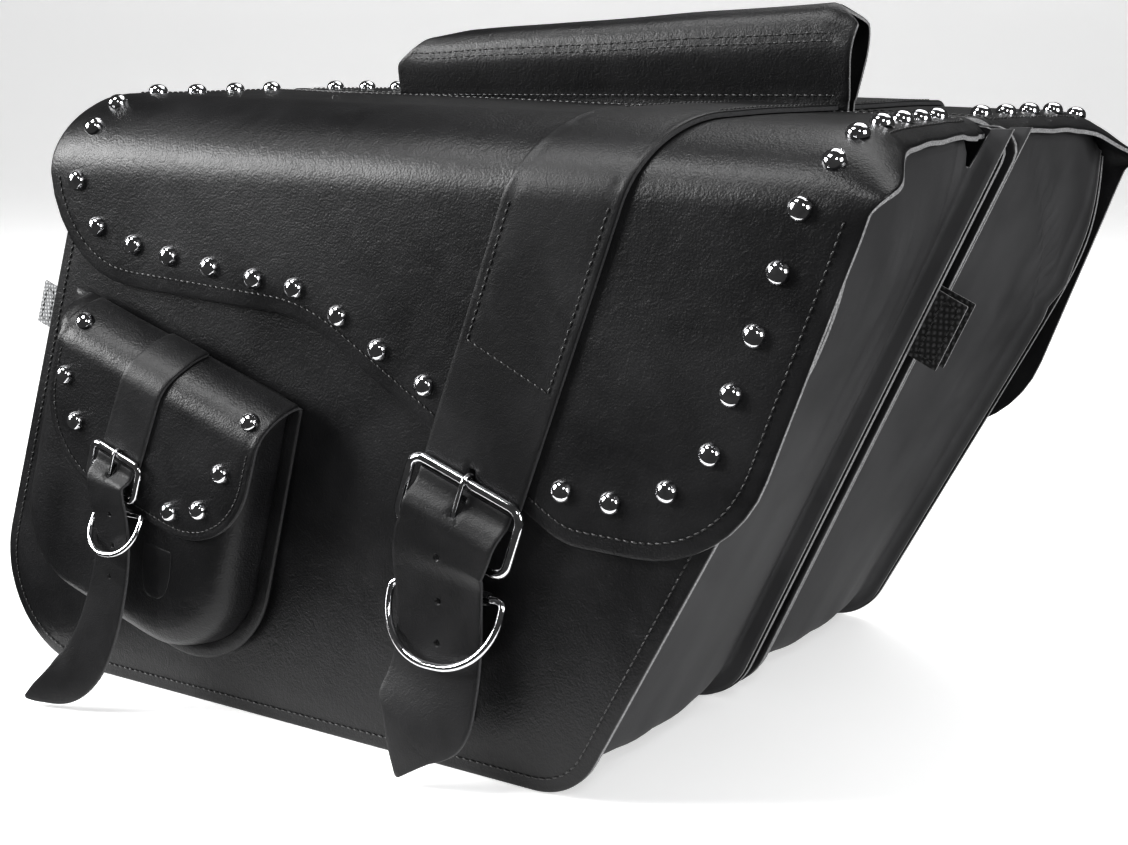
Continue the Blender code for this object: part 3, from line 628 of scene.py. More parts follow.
def spaced(outline, counts):
    """An open outline whose long straight stretches are split into the given counts."""
    row = [outline[0]]
    pending = list(counts)
    for one, two in zip(outline, outline[1:]):
        parts = pending.pop(0) if (two - one).length > 0.02 else 1
        row += [one.lerp(two, (k + 1) / parts) for k in range(parts)]
    return row


# %% [markdown]
# The bag's right side leans out past the lid's edge, so its top is tucked in: above the middle it
# bends upright and slips under the lid. Only the lip sewn to the back panel keeps its line.

# %% Tucked right side
TUCK_X, TUCK_SOFT = 0.262, 8 * MM


def tuck(x, v, inset=0.0):
    """x of a point after the right side's top is drawn in under the lid."""
    free = max(0.0, min(1.0, (30 * MM - v) / (15 * MM)))
    free = free * free * (3 - 2 * free)
    limit = TUCK_X - 0.4 * inset - 5 * MM * max(0.0, min(1.0, (0.12 - v) / 0.08)) + 0.06 * free
    if x < limit - 10 * TUCK_SOFT:
        return x
    return -TUCK_SOFT * math.log(math.exp(-x / TUCK_SOFT) + math.exp(-limit / TUCK_SOFT))


# %% [markdown]
# ## Lid surface
# The lid is one hide: flat on the front, then round a shoulder, then level to its back edge. The
# second flat coordinate t is the height on the front and goes on round the shoulder. The hide is
# not quite flat: it swells and dips by half a millimetre over a hand's width.

# %% Lid surface
SHOULDER_Z, SHOULDER_REACH, SHOULDER_ARC = 0.296, 0.055, 0.074
LID_TOP, LID_SLOPE = 0.336, 0.02
LID_BACK_T = SHOULDER_Z + SHOULDER_ARC + LID_V - SHOULDER_REACH - LID_BACK


def shoulder_fold(length, front_v, reach, rise, arc):
    """Depth, height and normal of a sheet that hangs, rounds a shoulder and runs back level."""
    if length <= 0:
        return front_v, length, (1.0, 0.0)
    if length >= arc:
        return front_v - reach - (length - arc), rise, (0.0, 1.0)
    turn = math.pi / 2 * length / arc
    normal = Vector((math.cos(turn) / reach, math.sin(turn) / rise)).normalized()
    return front_v - reach * (1 - math.cos(turn)), rise * math.sin(turn), (normal.x, normal.y)


DROOP_FROM = 0.243


def lid_droop(x, v):
    """How far the lid's top falls past the studs at its right end, more toward the back."""
    past = max(0.0, x - DROOP_FROM)
    back = max(0.0, min(1.0, (0.045 - v) / 0.030))
    return (16.0 + 20.0 * back) * past * past


def lid_place(x, t, off):
    """A point of the lid's surface, off above its inner face."""
    depth, height, normal = shoulder_fold(t - SHOULDER_Z, LID_V, SHOULDER_REACH,
                                          LID_TOP - LID_SLOPE * x - SHOULDER_Z, SHOULDER_ARC)
    lift = off - LID_THICK
    fall = lid_droop(x, depth) * max(0.0, min(1.0, (t - SHOULDER_Z) / SHOULDER_ARC))
    return Vector((x, depth + lift * normal[0], SHOULDER_Z + height + lift * normal[1] - fall))


def lid_t(x, z=None, v=None):
    """The lid's t at a height on the front, or at a depth on the top."""
    if z is not None and z <= SHOULDER_Z:
        return z
    if z is not None:
        share = (z - SHOULDER_Z) / (LID_TOP - LID_SLOPE * x - SHOULDER_Z)
        return SHOULDER_Z + SHOULDER_ARC * math.asin(min(1.0, share)) * 2 / math.pi
    if v > LID_V - SHOULDER_REACH:
        turn = math.acos(1 - (LID_V - v) / SHOULDER_REACH)
        return SHOULDER_Z + SHOULDER_ARC * turn * 2 / math.pi
    return SHOULDER_Z + SHOULDER_ARC + LID_V - SHOULDER_REACH - v


lid_wave = ripple(75 * MM, 0.9 * MM, seed=4.0)
lid_hem = rounded([(-0.212, LID_BACK_T, 0.0), (-0.215, 0.345, 0.060), (-0.236, 0.240, 0.062),
                   (-0.038, 0.229, 0.090), (0.122, 0.133, 0.040), (0.212, 0.131, 0.070),
                   (0.284, 0.327, 0.050), (0.266, 0.370, 0.060), (0.257, LID_BACK_T, 0.0)])
LID_STITCH_INSET = 8.5 * MM
lid_edge = resample(lid_hem, 3.0 * MM)


def lid_swell(flat):
    """The lid's waves, and the fall of its hem outside the stitches."""
    hem = np.clip(1.0 - edge_distance(flat, lid_edge) / LID_STITCH_INSET, 0.0, 1.0)
    frill = np.array([noise.noise(Vector((a / 0.03, b / 0.03, 7.0))) for a, b in flat])
    frill *= 1.3 * MM * (flat[:, 0] > 0.2) * np.clip((flat[:, 1] - 0.22) / 0.05, 0.0, 1.0)
    fall = 1.1 * MM * (flat[:, 1] < LID_BACK_T - 12 * MM)
    return lid_wave(flat) + hem * (frill - fall)


lid_line = open_run(inset_line(resample(lid_hem, 2.0 * MM), LID_STITCH_INSET),
                    lambda p: p[1] < LID_BACK_T - 5 * MM)
hide_sheet("lid", lid_hem, lid_place, LID_THICK, "lid_body", ("lid",), groove=(lid_line,),
           swell=lid_swell)
seam("lid_stitches", [lay(lid_line, lid_place, LID_THICK - 0.1 * MM, lid_swell)], "lid_body")

# %% [markdown]
# The studs follow the hem 30 mm apart. They stop where the strap crosses, and run on along both
# sides of the top.

# %% Lid studs
LID_FRONT_STUDS = [(-195.5, 322), (-199.5, 293), (-186, 268), (-158, 259.5), (-131, 255),
                   (-100.6, 251), (-69, 247), (-41, 244), (-12.5, 232), (13, 217), (42, 202),
                   (123, 159.6), (150, 157.6), (180, 167), (202, 187), (212, 215),
                   (222.5, 242), (233, 270), (242.6, 297.5)]
LID_TOP_STUDS = [(252, 172), (252, 149), (249, 117), (246, 87), (243, 59), (240, 30),
                 (-195, 156), (-195, 125), (-195, 94), (-195, 62), (-195, 30)]
spots = []
for x, z in LID_FRONT_STUDS:
    spots.append((x * MM, lid_t(x * MM, z=z * MM)))
for x, v in LID_TOP_STUDS:
    spots.append((x * MM, lid_t(x * MM, v=v * MM)))
studs("lid_studs", lay(spots, lid_place, LID_THICK, lid_swell), "lid_body")

# %% [markdown]
# ## The wide strap
# Strap leather is thicker and stiffer than the lid. It lies along the lid and shares its swells.
# It is stitched down both sides as far as a cross row, and hangs free below that.

# %% Wide strap
STRAP_HALF, STRAP_THICK, STRAP_LEAN = 30.5 * MM, 2.8 * MM, 0.375
STRAP_END, BUCKLE_X, BUCKLE_Z = 0.1465, 0.072, 0.158
STRAP_CROSS_T = 0.217


def strap_centre(t):
    """x of the strap's centre line at t along the lid."""
    on_flap = min(t, SHOULDER_Z) - BUCKLE_Z
    turned = min(1.0, max(0.0, (t - SHOULDER_Z) / SHOULDER_ARC))
    return BUCKLE_X + STRAP_LEAN * (on_flap + SHOULDER_ARC * (turned - 0.15 * turned ** 2))


def strap_half(t, inset=0.0):
    """Half the strap's width measured along x, less an inset."""
    tilt = STRAP_LEAN * max(0.0, min(1.0, (SHOULDER_Z + SHOULDER_ARC - t) / SHOULDER_ARC))
    return (STRAP_HALF - inset) * math.hypot(1.0, tilt)


def strap_place(x, t, off):
    """A point of the strap, which lies on the lid."""
    return lid_place(x, t, off + LID_THICK + 2 * CLEAR)


def strap_side(sign, low, high, inset=0.0):
    """Points up one side of the strap."""
    slip = STRAP_HALF * STRAP_LEAN / math.hypot(1.0, STRAP_LEAN)
    heights = np.linspace(low, high, 60)
    return [(strap_centre(t) + sign * strap_half(t, inset), t) for t in
            heights - sign * slip * (1 - (heights - low) / (high - low)) ** 6]


strap_outline = strap_side(-1, STRAP_END, LID_BACK_T) + strap_side(1, STRAP_END, LID_BACK_T)[::-1]
strap_lines = [np.array(strap_side(s, STRAP_CROSS_T, LID_BACK_T - 3 * MM, 5 * MM)) for s in (-1, 1)]
strap_cross = np.array([strap_lines[0][0], strap_lines[1][0]])
prong_slot = np.array([(BUCKLE_X + a * MM, BUCKLE_Z + b * MM) for a, b in
                       ((-2.6, -6), (2.6, -6), (2.6, 5), (1.6, 6.5), (-1.6, 6.5), (-2.6, 5))])
hide_sheet("lid_strap", strap_outline, strap_place, STRAP_THICK, "lid_body", ("lid_strap",),
           pitch=3.6 * MM, finish=STRAP_HIDE, groove=tuple(strap_lines),
           swell=lid_wave, holes=(prong_slot,))
seam("lid_strap_stitches", [lay(resample(line, 4 * MM, closed=False), strap_place, STRAP_THICK,
                                lid_wave) for line in strap_lines + [strap_cross]], "lid_body")

# %% [markdown]
# ## Buckles and rings
# A buckle is one bent wire with a second, thinner wire wrapped round its bar as the prong. A
# swept circle on a rounded path gives both. The keeper is a half-round ring that leans outwards.

# %% Wire
def bent_wire(name, runs, rides, stands_for, flat=1.0):
    """Round wires as one mesh; a run is (path, radius, plane normal, closed)."""
    points, faces = [], []
    sides = 16
    for path, radius, normal, closed in runs:
        start, count = len(points), len(path)
        for index, here in enumerate(path):
            ahead = path[(index + 1) % count] if closed else path[min(index + 1, count - 1)]
            behind = path[index - 1] if closed else path[max(index - 1, 0)]
            outwards = (ahead - behind).normalized().cross(normal).normalized()
            end = 0.55 if not closed and index in (0, count - 1) else 1.0
            for k in range(sides):
                turn = math.tau * k / sides
                points.append(here + radius * end * (outwards * flat * math.cos(turn)
                                                     + normal * math.sin(turn)))
        for ring in range(count if closed else count - 1):
            for k in range(sides):
                low, high = ring * sides, ((ring + 1) % count) * sides
                after = (k + 1) % sides
                faces.append([start + low + k, start + low + after, start + high + after,
                              start + high + k])
        if not closed:
            faces.append([start + k for k in range(sides)])
            faces.append([start + (count - 1) * sides + k for k in range(sides)])
    publish(name, points, faces, (CHROME,), rides, stands_for, smooth=60.0)


def tilted(origin, tilt):
    """The origin and unit vectors across, down and out for hardware tilted in the front plane."""
    across = Vector((math.cos(tilt), 0.0, -math.sin(tilt)))
    down = Vector((-math.sin(tilt), 0.0, -math.cos(tilt)))
    return Vector(origin), across, down, Vector((0.0, 1.0, 0.0))


def frame_path(origin, tilt, size):
    """Rounded rectangle whose top bar is centred on the origin."""
    centre, across, down, _ = tilted(origin, tilt)
    half, corner = size[0] / 2, size[1] * 0.2
    flat = rounded([(-half, 0.0, corner), (half, 0.0, corner),
                    (half, size[1], corner), (-half, size[1], corner)], steps=8)
    even = resample(flat, 1.5 * MM)
    return [centre + across * a + down * b for a, b in even]


def prong_path(origin, tilt, eye, reach):
    """An eye over the bar, open underneath, then a straight pin."""
    centre, across, down, out = tilted(origin, tilt)
    path = []
    for step in range(21):
        angle = math.radians(-20 - 250 * step / 20)
        path.append(centre + eye * (out * math.sin(angle) + down * math.cos(angle)))
    return path + [centre + out * eye + down * reach * k / 8 for k in range(1, 9)]


def ring_path(bar, size, lean):
    """A half-round ring: a straight bar and a bow that leans out in front."""
    down = Vector((0.0, math.sin(lean), -math.cos(lean)))
    half = size[0] / 2
    flat = rounded([(-half, 0.0, size[1] * 0.1), (half, 0.0, size[1] * 0.1),
                    (half, size[1], half * 0.93), (-half, size[1], half * 0.93)], steps=18)
    return [Vector(bar) + Vector((1, 0, 0)) * a + down * b for a, b in resample(flat, 1.5 * MM)], \
        Vector((1, 0, 0)).cross(down).normalized()


# %% Wide buckle
BUCKLE_TILT = math.radians(19)
WIRE = 2.4 * MM
bar_v = LID_V + 2 * CLEAR + STRAP_THICK + CLEAR + WIRE
buckle_bar = (BUCKLE_X, bar_v, BUCKLE_Z)
out, across = Vector((0, 1, 0)), tilted(buckle_bar, BUCKLE_TILT)[1]
bent_wire("buckle_frame", [(frame_path(buckle_bar, BUCKLE_TILT, (69.2 * MM, 36 * MM)), WIRE, out,
                            True)], "billet", ("buckle_frame",), flat=1.05)
bent_wire("buckle_prong", [(prong_path(buckle_bar, BUCKLE_TILT, WIRE + CLEAR + 1.3 * MM,
                                       36.5 * MM), 1.3 * MM, across, False)],
          "billet", ("buckle_prong",))
RING_BAR = (0.058, 0.1892, 0.101)
ring, ring_normal = ring_path(RING_BAR, (69 * MM, 38 * MM), math.radians(21))
bent_wire("keeper_ring", [(ring, 2.0 * MM, ring_normal, True)], "ring", ("keeper_ring",))

# %% [markdown]
# ## Hanging straps
# A billet is cut flat and then hangs in a gentle curve, so its flat coordinates are the distance
# from its middle line and the distance along it. A smooth curve through a few stations carries
# them. Its edges curl a little, and it is punched with round holes.

# %% Strap surface
def smooth_through(stations, steps=14):
    """A Catmull-Rom curve through equal-length tuples."""
    rows = [np.array(s, dtype=float) for s in stations]
    rows = [2 * rows[0] - rows[1]] + rows + [2 * rows[-1] - rows[-2]]
    out_rows = []
    for a, b, c, d in zip(rows, rows[1:], rows[2:], rows[3:]):
        for k in range(steps):
            s = k / steps
            out_rows.append(0.5 * (2 * b + (c - a) * s + (2 * a - 5 * b + 4 * c - d) * s * s
                                   + (3 * b - a - 3 * c + d) * s ** 3))
    return out_rows + [rows[-2]]


def hanging(stations, curl):
    """Outline and place for a strap through (x, z, v, half width); curl lifts its edges."""
    rows = smooth_through(stations)
    centres = [Vector((r[0], r[2], r[1])) for r in rows]
    halves = [max(r[3], 0.2 * MM) for r in rows]
    lengths = [0.0]
    for one, two in zip(centres, centres[1:]):
        lengths.append(lengths[-1] + (two - one).length)
    frames = []
    for index, centre in enumerate(centres):
        run = (centres[min(index + 1, len(centres) - 1)] - centres[max(index - 1, 0)]).normalized()
        side = Vector((-run.z, 0, run.x)).normalized()
        outwards = side.cross(run).normalized()
        frames.append((centre, side if side.x > 0 else -side,
                       outwards if outwards.y > 0 else -outwards))

    def place(a, t, off):
        index = min(max(int(np.searchsorted(lengths, t)) - 1, 0), len(frames) - 2)
        share = (t - lengths[index]) / max(lengths[index + 1] - lengths[index], 1e-9)
        centre = frames[index][0].lerp(frames[index + 1][0], share)
        side = frames[index][1].lerp(frames[index + 1][1], share).normalized()
        outwards = frames[index][2].lerp(frames[index + 1][2], share).normalized()
        half = halves[index] + (halves[index + 1] - halves[index]) * share
        lift = curl(t / lengths[-1]) * (a / max(half, 4 * MM)) ** 2
        return centre + side * a + outwards * (off + lift)

    outline = [(-h, t) for h, t in zip(halves, lengths)]
    outline += [(h, t) for h, t in zip(halves, lengths)][::-1]
    return outline, place, lengths


def slot_hole(start, end, half):
    """A prong slot: a long hole with a round lower end."""
    turn = [math.pi * k / 6 for k in range(7)]
    return np.array([(-half, start)] + [(-half * math.cos(a), end + half * math.sin(a))
                                        for a in turn] + [(half, start)])


# %% Wide billet
over = bar_v + WIRE + CLEAR + 2.6 * MM + CLEAR
outline, billet_place, run = hanging(
    [(0.0706, 0.1538, bar_v - 0.0021, 0.0285), (0.0680, 0.1462, bar_v - 0.0010, 0.0285),
     (0.0655, 0.1385, over, 0.0285), (0.0620, 0.1290, over, 0.0280),
     (0.0585, 0.1200, over, 0.0275), (0.0570, 0.1100, over - 0.0020, 0.0270),
     (0.0570, 0.0980, over - 0.0026, 0.0262), (0.0565, 0.0780, over - 0.0024, 0.0260),
     (0.0545, 0.0560, over + 0.0006, 0.0268), (0.0505, 0.0360, over + 0.0060, 0.0275),
     (0.0440, 0.0200, over + 0.0090, 0.0145), (0.0385, 0.0045, over + 0.0105, 0.0010)],
    lambda share: 0.8 * MM * math.sin(math.tau * share))
HOLE_TIMES = (38 * MM, 62 * MM, 84 * MM)
hide_sheet("billet_strap", outline, billet_place, 2.4 * MM, "billet", ("billet_strap",),
           pitch=2.6 * MM, finish=STRAP_HIDE,
           holes=[slot_hole(3 * MM, 14.5 * MM, 2.2 * MM)] + [disc(0, t, 1.5 * MM) for t in HOLE_TIMES],
           swell=ripple(30 * MM, 0.4 * MM, seed=9.0), rim=0.9 * MM)
print("wide billet", round(run[-1] / MM), "mm long")

# %% [markdown]
# ## Panels
# The front panel is a hide drawn tight by its seam: within about 15 mm of the edge it rolls back a
# little, and its middle stands slightly proud. The back panel is laid flat, without that roll.
# Both carry a row of stitches 5 mm inside the cut edge.

# %% Front and back panels
def pulled(edge, roll, swell_height, seed):
    """A swell that rolls back near the edge and waves gently elsewhere."""
    waves = ripple(90 * MM, swell_height, seed)

    def swell(flat):
        share = np.clip(edge_distance(flat, edge) / (16 * MM), 0.0, 1.0)
        return waves(flat) * share - roll * (1 - share) ** 2
    return swell


front_outline = [Vector((tuck(p[0], FRONT_V), p[1])) for p in
                 resample(bag_outline(0.0, FRONT_TOP, FRONT_TOP), 4 * MM)]
front_edge = resample(front_outline, 3 * MM)
front_swell = pulled(front_edge, 1.3 * MM, 0.8 * MM, 2.0)


def front_place(x, z, off):
    """A point on the front panel, off above its inner face."""
    return Vector((x, FRONT_V - PANEL + off, z))


SEAM_INSET = 7.5 * MM
front_line = open_run(inset_line(front_edge, SEAM_INSET), lambda p: p[1] < FRONT_TOP - 12 * MM)
hide_sheet("front_panel", front_outline, front_place, PANEL - 0.6 * MM, "bag", ("front_panel",),
           pitch=6 * MM, groove=(front_line,), swell=front_swell)
seam("front_panel_stitches", [lay(front_line, front_place, PANEL - 0.6 * MM, front_swell)], "bag")

back_outline = bag_outline(0.0, LID_TOP - LID_SLOPE * left_edge(LID_TOP) - 4 * MM,
                           LID_TOP - LID_SLOPE * right_edge(LID_TOP) - 4 * MM, 12 * MM, BACK_V)


def back_place(x, z, off):
    """A point on the back panel, whose grain side faces the other bag."""
    return Vector((x, BACK_V + PANEL - off, z))


back_line = inset_line(resample(back_outline, 3 * MM), 5 * MM)
hide_sheet("back_panel", back_outline, back_place, PANEL, "bag", ("back_panel",), pitch=8 * MM,
           groove=(back_line,))
seam("back_panel_stitches", [lay(list(back_line) + [back_line[0]], back_place, PANEL)], "bag")

# %% [markdown]
# ## Gusset
# A soft strip joins the panels. Its edges turn outwards and are sewn against them, so its section
# runs out along each lip, dips into a valley and bulges in between. A loft of that section round
# the bag's outline gives the skin, with slow folds. One slanting fold is deeper on the left bag.

# %% Gusset
GUSSET_SECTION = [(0.9, 12.4), (3.0, 12.4), (6.0, 12.5), (9.0, 12.6), (11.0, 12.9), (12.4, 13.9),
                  (12.9, 15.8), (12.6, 18.5), (11.6, 23.0), (10.3, 29.0), (9.0, 36.0), (7.8, 45.0),
                  (6.8, 56.0), (6.1, 68.0), (5.7, 80.0), (5.6, 93.0), (5.8, 106.0), (6.4, 120.0),
                  (7.2, 132.0), (8.2, 143.0), (9.4, 152.0), (10.4, 159.0), (10.9, 164.0),
                  (10.2, 167.5), (8.0, 169.7), (5.5, 170.4), (3.0, 170.6), (0.9, 170.7)]
CREASE_TOP, CREASE_RUN, CREASE_DEPTH, CREASE_WIDTH = 54.0, 1130.0, 5.0, 3.0
VALLEY_AT, VALLEY_WIDTH, VALLEY_DEPTH = 26.0, 9.0, 4.0
RIGHT_CREASE, LEFT_CREASE = 0.25, 1.0
SIDE_COUNTS = (34, 40, 40)


def under_lid(x, v):
    """Height just below the lid's inner face at a depth."""
    rise = LID_TOP - LID_SLOPE * x - SHOULDER_Z
    along = max(0.0, (v - (LID_V - SHOULDER_REACH)) / SHOULDER_REACH)
    cover = math.sqrt(1 - along * along)
    return SHOULDER_Z + rise * cover - 4.3 * MM * math.hypot(1, rise / SHOULDER_REACH * along / cover)


def gusset_row(inset, v, crease):
    """Points round the bag at one place of the section, creased by slow folds."""
    edge_x = tuck(right_edge(LID_TOP, inset, v), v, inset)
    left_top = under_lid(left_edge(LID_TOP), v)
    right_top = under_lid(right_edge(LID_TOP), v) - lid_droop(edge_x, v) * (v > 15 * MM)
    row = spaced(bag_outline(inset, left_top, right_top, v=v), SIDE_COUNTS)
    closer = bag_outline(inset + 1 * MM, left_top, right_top, v=v)
    inner = spaced(closer, SIDE_COUNTS)
    middle = math.exp(-((v / MM - 90.0) / 52.0) ** 2)
    valley = math.exp(-((v / MM - VALLEY_AT) / VALLEY_WIDTH) ** 2)
    points = []
    for p, q in zip(row, inner):
        inwards = (q - p) / MM
        high = max(0.0, min(1.0, (p.y - 0.235) / 0.075))
        fold = noise.noise(Vector((p.x / 0.12, p.y / 0.16, v / 0.021)))
        depth = middle * (1.6 * fold - 0.4) * MM + valley * VALLEY_DEPTH * MM * high * high
        off_crease = v / MM - CREASE_TOP - CREASE_RUN * (0.32 - p.y)
        reach = max(0.0, min(1.0, (p.y - 0.200) / 0.030)) if p.x > 0 else 0.0
        depth += crease * reach * MM * (CREASE_DEPTH * math.exp(-(off_crease / CREASE_WIDTH) ** 2)
                                        - 2.0 * math.exp(-((off_crease - 14.0) / 10.0) ** 2))
        spot = p + inwards * depth
        points.append((tuck(spot.x, v, inset), v, max(spot.y, inset)))
    return points


def gusset_skin(crease):
    """All the gusset's points, row by row."""
    section = resample(GUSSET_SECTION, 2.6, closed=False)
    return [gusset_row(inset * MM, v * MM, crease) for inset, v in section]


rows, creased_rows = gusset_skin(RIGHT_CREASE), gusset_skin(LEFT_CREASE)
width = len(rows[0])
faces = [(r * width + k, r * width + k + 1, (r + 1) * width + k + 1, (r + 1) * width + k)
         for r in range(len(rows) - 1) for k in range(width - 1)]
# The gusset's lighter grey is painted light on black leather.
publish("gusset", [p for row in rows for p in row], faces, (GUSSET_HIDE_PAINTED_LIGHTER, CUT_EDGE), "bag",
        ("gusset",), thickness=1.8 * MM, smooth=60.0,
        left_points=[p for row in creased_rows for p in row])
lip_line = spaced(bag_outline(6.5 * MM, 0.300, 0.315, v=13 * MM), SIDE_COUNTS)
seam("gusset_back_stitches", [[(Vector((p.x, 12.5 * MM, p.y)), Vector((0, 1, 0)))
                               for p in lip_line]], "bag")

# %% [markdown]
# ## Pocket
# The pocket is a puffed tray: a narrow flange sewn to the front, then a steep rounded wall, then a
# slightly domed face. Rings of points run down one side, round the foot and up the other; the
# innermost ring closes on a line, and the top stays open under its lid.

# %% Pocket tray
POCKET_FOOT = [(-0.207, 0.232), (-0.262, 0.066), (-0.086, 0.015), (-0.042, 0.180)]
foot_path = rounded([(*POCKET_FOOT[0], 0.0), (*POCKET_FOOT[1], 0.055), (*POCKET_FOOT[2], 0.060),
                     (*POCKET_FOOT[3], 0.0)], steps=14)
foot_row = resample(foot_path, 3.0 * MM, closed=False)
TRAY_SECTION = [(0.0, 3.0), (1.0, 3.4), (4.0, 3.3), (8.0, 3.0), (9.6, 3.3), (10.4, 5.0),
                (10.9, 8.0), (11.4, 12.0), (12.0, 16.0), (12.9, 20.0), (14.4, 23.6),
                (16.6, 26.3), (19.6, 28.0), (24.0, 29.0), (30.0, 29.6)]
DOME = [0.12, 0.26, 0.42, 0.60, 0.80, 1.0]
POCKET_ORIGIN, POCKET_TILT = (-0.187, 0.230), math.radians(17.6)
FLAP_THICK, FLAP_V = 2.4 * MM, box("pocket_lid")[1].y
FLAP_DROP, FLAP_SHOULDER, FLAP_REACH, FLAP_ARC = 0.092, 0.0235, 0.0360, 0.0475
FLAP_BACK = FLAP_ARC - FLAP_SHOULDER + FLAP_V - FLAP_REACH - FRONT_V - 5.5 * MM


def below_roll(x, y, z):
    """Depth of a tray point, held under the lid where the lid rolls over the pocket's top."""
    q = (x - POCKET_ORIGIN[0]) * math.sin(POCKET_TILT) + (z - POCKET_ORIGIN[1]) * math.cos(POCKET_TILT)
    rise = max(0.0, min(1.0, (q + 3 * MM + FLAP_SHOULDER) / FLAP_SHOULDER))
    roof = FLAP_V - FLAP_THICK - 3 * MM - FLAP_REACH * (1 - math.sqrt(1 - rise * rise))
    return max(min(y, roof), min(y, FRONT_V + 2.6 * MM))



def stretched(row):
    """Unit inward directions for an open row that bends to the left."""
    run = np.gradient(row, axis=0)
    run /= np.linalg.norm(run, axis=1, keepdims=True)
    return np.stack([-run[:, 1], run[:, 0]], axis=1)


top_left, top_right = np.array(POCKET_FOOT[0]), np.array(POCKET_FOOT[3])
top_run = (top_right - top_left) / np.linalg.norm(top_right - top_left)
depth_below = -((foot_row - top_left) @ np.array([-top_run[1], top_run[0]]))
inward = stretched(foot_row)
middle_top = (top_left + top_right) / 2
middle_low = middle_top + np.array([-0.028, -0.085])
rings = []
for inset, height in TRAY_SECTION:
    moved = foot_row + inward * inset * MM
    for end, corner in ((0, top_left), (-1, top_right)):
        away = moved[end] - corner
        shift = -(away @ np.array([-top_run[1], top_run[0]]))
        fade = np.exp(-np.abs(np.arange(len(moved)) - (0 if end == 0 else len(moved) - 1)) / 6.0)
        moved += fade[:, None] * shift * np.array([-top_run[1], top_run[0]])
    rings.append((moved, np.full(len(moved), height * MM)))
share = np.clip(depth_below / depth_below.max(), 0.0, 1.0)[:, None]
spine = middle_top + (middle_low - middle_top) * share
for blend in DOME:
    moved = rings[len(TRAY_SECTION) - 1][0] * (1 - blend) + spine * blend
    rings.append((moved, np.full(len(moved), (29.6 + 0.4 * math.sin(blend * 1.5)) * MM)))
points, faces = [], []
pocket_wave = ripple(28 * MM, 0.7 * MM, seed=6.0)
for number, (line, height) in enumerate(rings):
    wave = pocket_wave(line) * min(1.0, max(0.0, (number - 4) / 6))
    points += [(x, below_roll(x, FRONT_V + h + w - 0.4 * MM, z), z)
               for (x, z), h, w in zip(line, height, wave)]
width = len(foot_row)
for r in range(len(rings) - 1):
    for k in range(width - 1):
        faces.append((r * width + k, r * width + k + 1, (r + 1) * width + k + 1,
                      (r + 1) * width + k))
publish("pocket_body", points, faces, (FACE, DYED_EDGE), "bag", ("pocket_body",),
        thickness=2.4 * MM, smooth=50.0)
flange = [(x, z) for x, z in foot_row + inward * 4.6 * MM][2:-2]
seam("pocket_stitches", [lay(flange, lambda x, z, off: Vector((x, FRONT_V + 2.8 * MM + off, z)),
                             0.0)], "bag")

# %% [markdown]
# ## Pocket lid
# The pocket's lid is made as the big lid is, in the pocket's own tilted frame: p across and q up.
# It rolls over a tight shoulder that catches a bright band of light.

# %% Pocket lid, strap and studs


def pocket_point(p, q, v):
    """A point of the pocket's tilted frame."""
    cos, sin = math.cos(POCKET_TILT), math.sin(POCKET_TILT)
    return Vector((POCKET_ORIGIN[0] + p * cos + q * sin, v, POCKET_ORIGIN[1] - p * sin + q * cos))


def flap_place(p, t, off):
    """A point of the pocket lid, laid out like lid_place."""
    depth, height, normal = shoulder_fold(t + FLAP_SHOULDER, FLAP_V, FLAP_REACH,
                                          FLAP_SHOULDER, FLAP_ARC)
    lift = off - FLAP_THICK
    spot = pocket_point(p, height - FLAP_SHOULDER + lift * normal[1], depth + lift * normal[0])
    spot.y = max(spot.y, FRONT_V + CLEAR)
    return spot


flap_hem = rounded([(0.002, FLAP_BACK, 0.0), (0.002, -FLAP_DROP, 0.048),
                    (0.154, -FLAP_DROP, 0.048), (0.154, FLAP_BACK, 0.0)], steps=12)
flap_swell = ripple(40 * MM, 0.5 * MM, seed=3.0)
flap_line = open_run(inset_line(resample(flap_hem, 2 * MM), 4.5 * MM),
                     lambda p: p[1] < FLAP_BACK - 8 * MM)
hide_sheet("pocket_lid", flap_hem, flap_place, FLAP_THICK, "pocket_flap", ("pocket_lid",),
           pitch=2.8 * MM, swell=flap_swell, groove=(flap_line,))
seam("pocket_lid_stitches", [lay(flap_line, flap_place, FLAP_THICK, flap_swell)], "pocket_flap",
     pitch=3.6 * MM, radius=0.3 * MM)
FLAP_STUDS = [(13.2, -8.4), (13.4, -38.8), (27.6, -60.5), (50, -79.6), (106, -79.6), (126, -69),
              (135.4, -43), (143, -11)]
spots = []
for p, q in FLAP_STUDS:
    rise = max(0.0, q * MM + FLAP_SHOULDER) / FLAP_SHOULDER
    t = q * MM if rise == 0 else FLAP_ARC * math.asin(rise) * 2 / math.pi - FLAP_SHOULDER
    spots.append((p * MM, t))
studs("pocket_studs", lay(spots, flap_place, FLAP_THICK, flap_swell), "pocket_flap",
      radius=5.2 * MM)

SMALL_HALF, SMALL_THICK = 14.5 * MM, 2.0 * MM


def small_centre(t):
    """p of the narrow strap's centre line."""
    return 0.0735 + 0.12 * min(t, 0.0)


def small_place(a, t, off):
    """A point of the narrow strap, which lies on the pocket lid."""
    return flap_place(small_centre(t) + a, t, off + FLAP_THICK + CLEAR)


small_outline = [(-SMALL_HALF, -0.078), (SMALL_HALF, -0.078), (SMALL_HALF, FLAP_BACK - 0.5 * MM),
                 (-SMALL_HALF, FLAP_BACK - 0.5 * MM)]
SMALL_BAR = (-0.1435, 0.150)
hide_sheet("pocket_strap", small_outline, small_place, SMALL_THICK, "pocket_flap",
           ("pocket_strap",), pitch=2.2 * MM, finish=STRAP_HIDE,
           swell=lambda flat: flap_swell(flat + np.array([0.0735, 0.0])), rim=0.9 * MM)

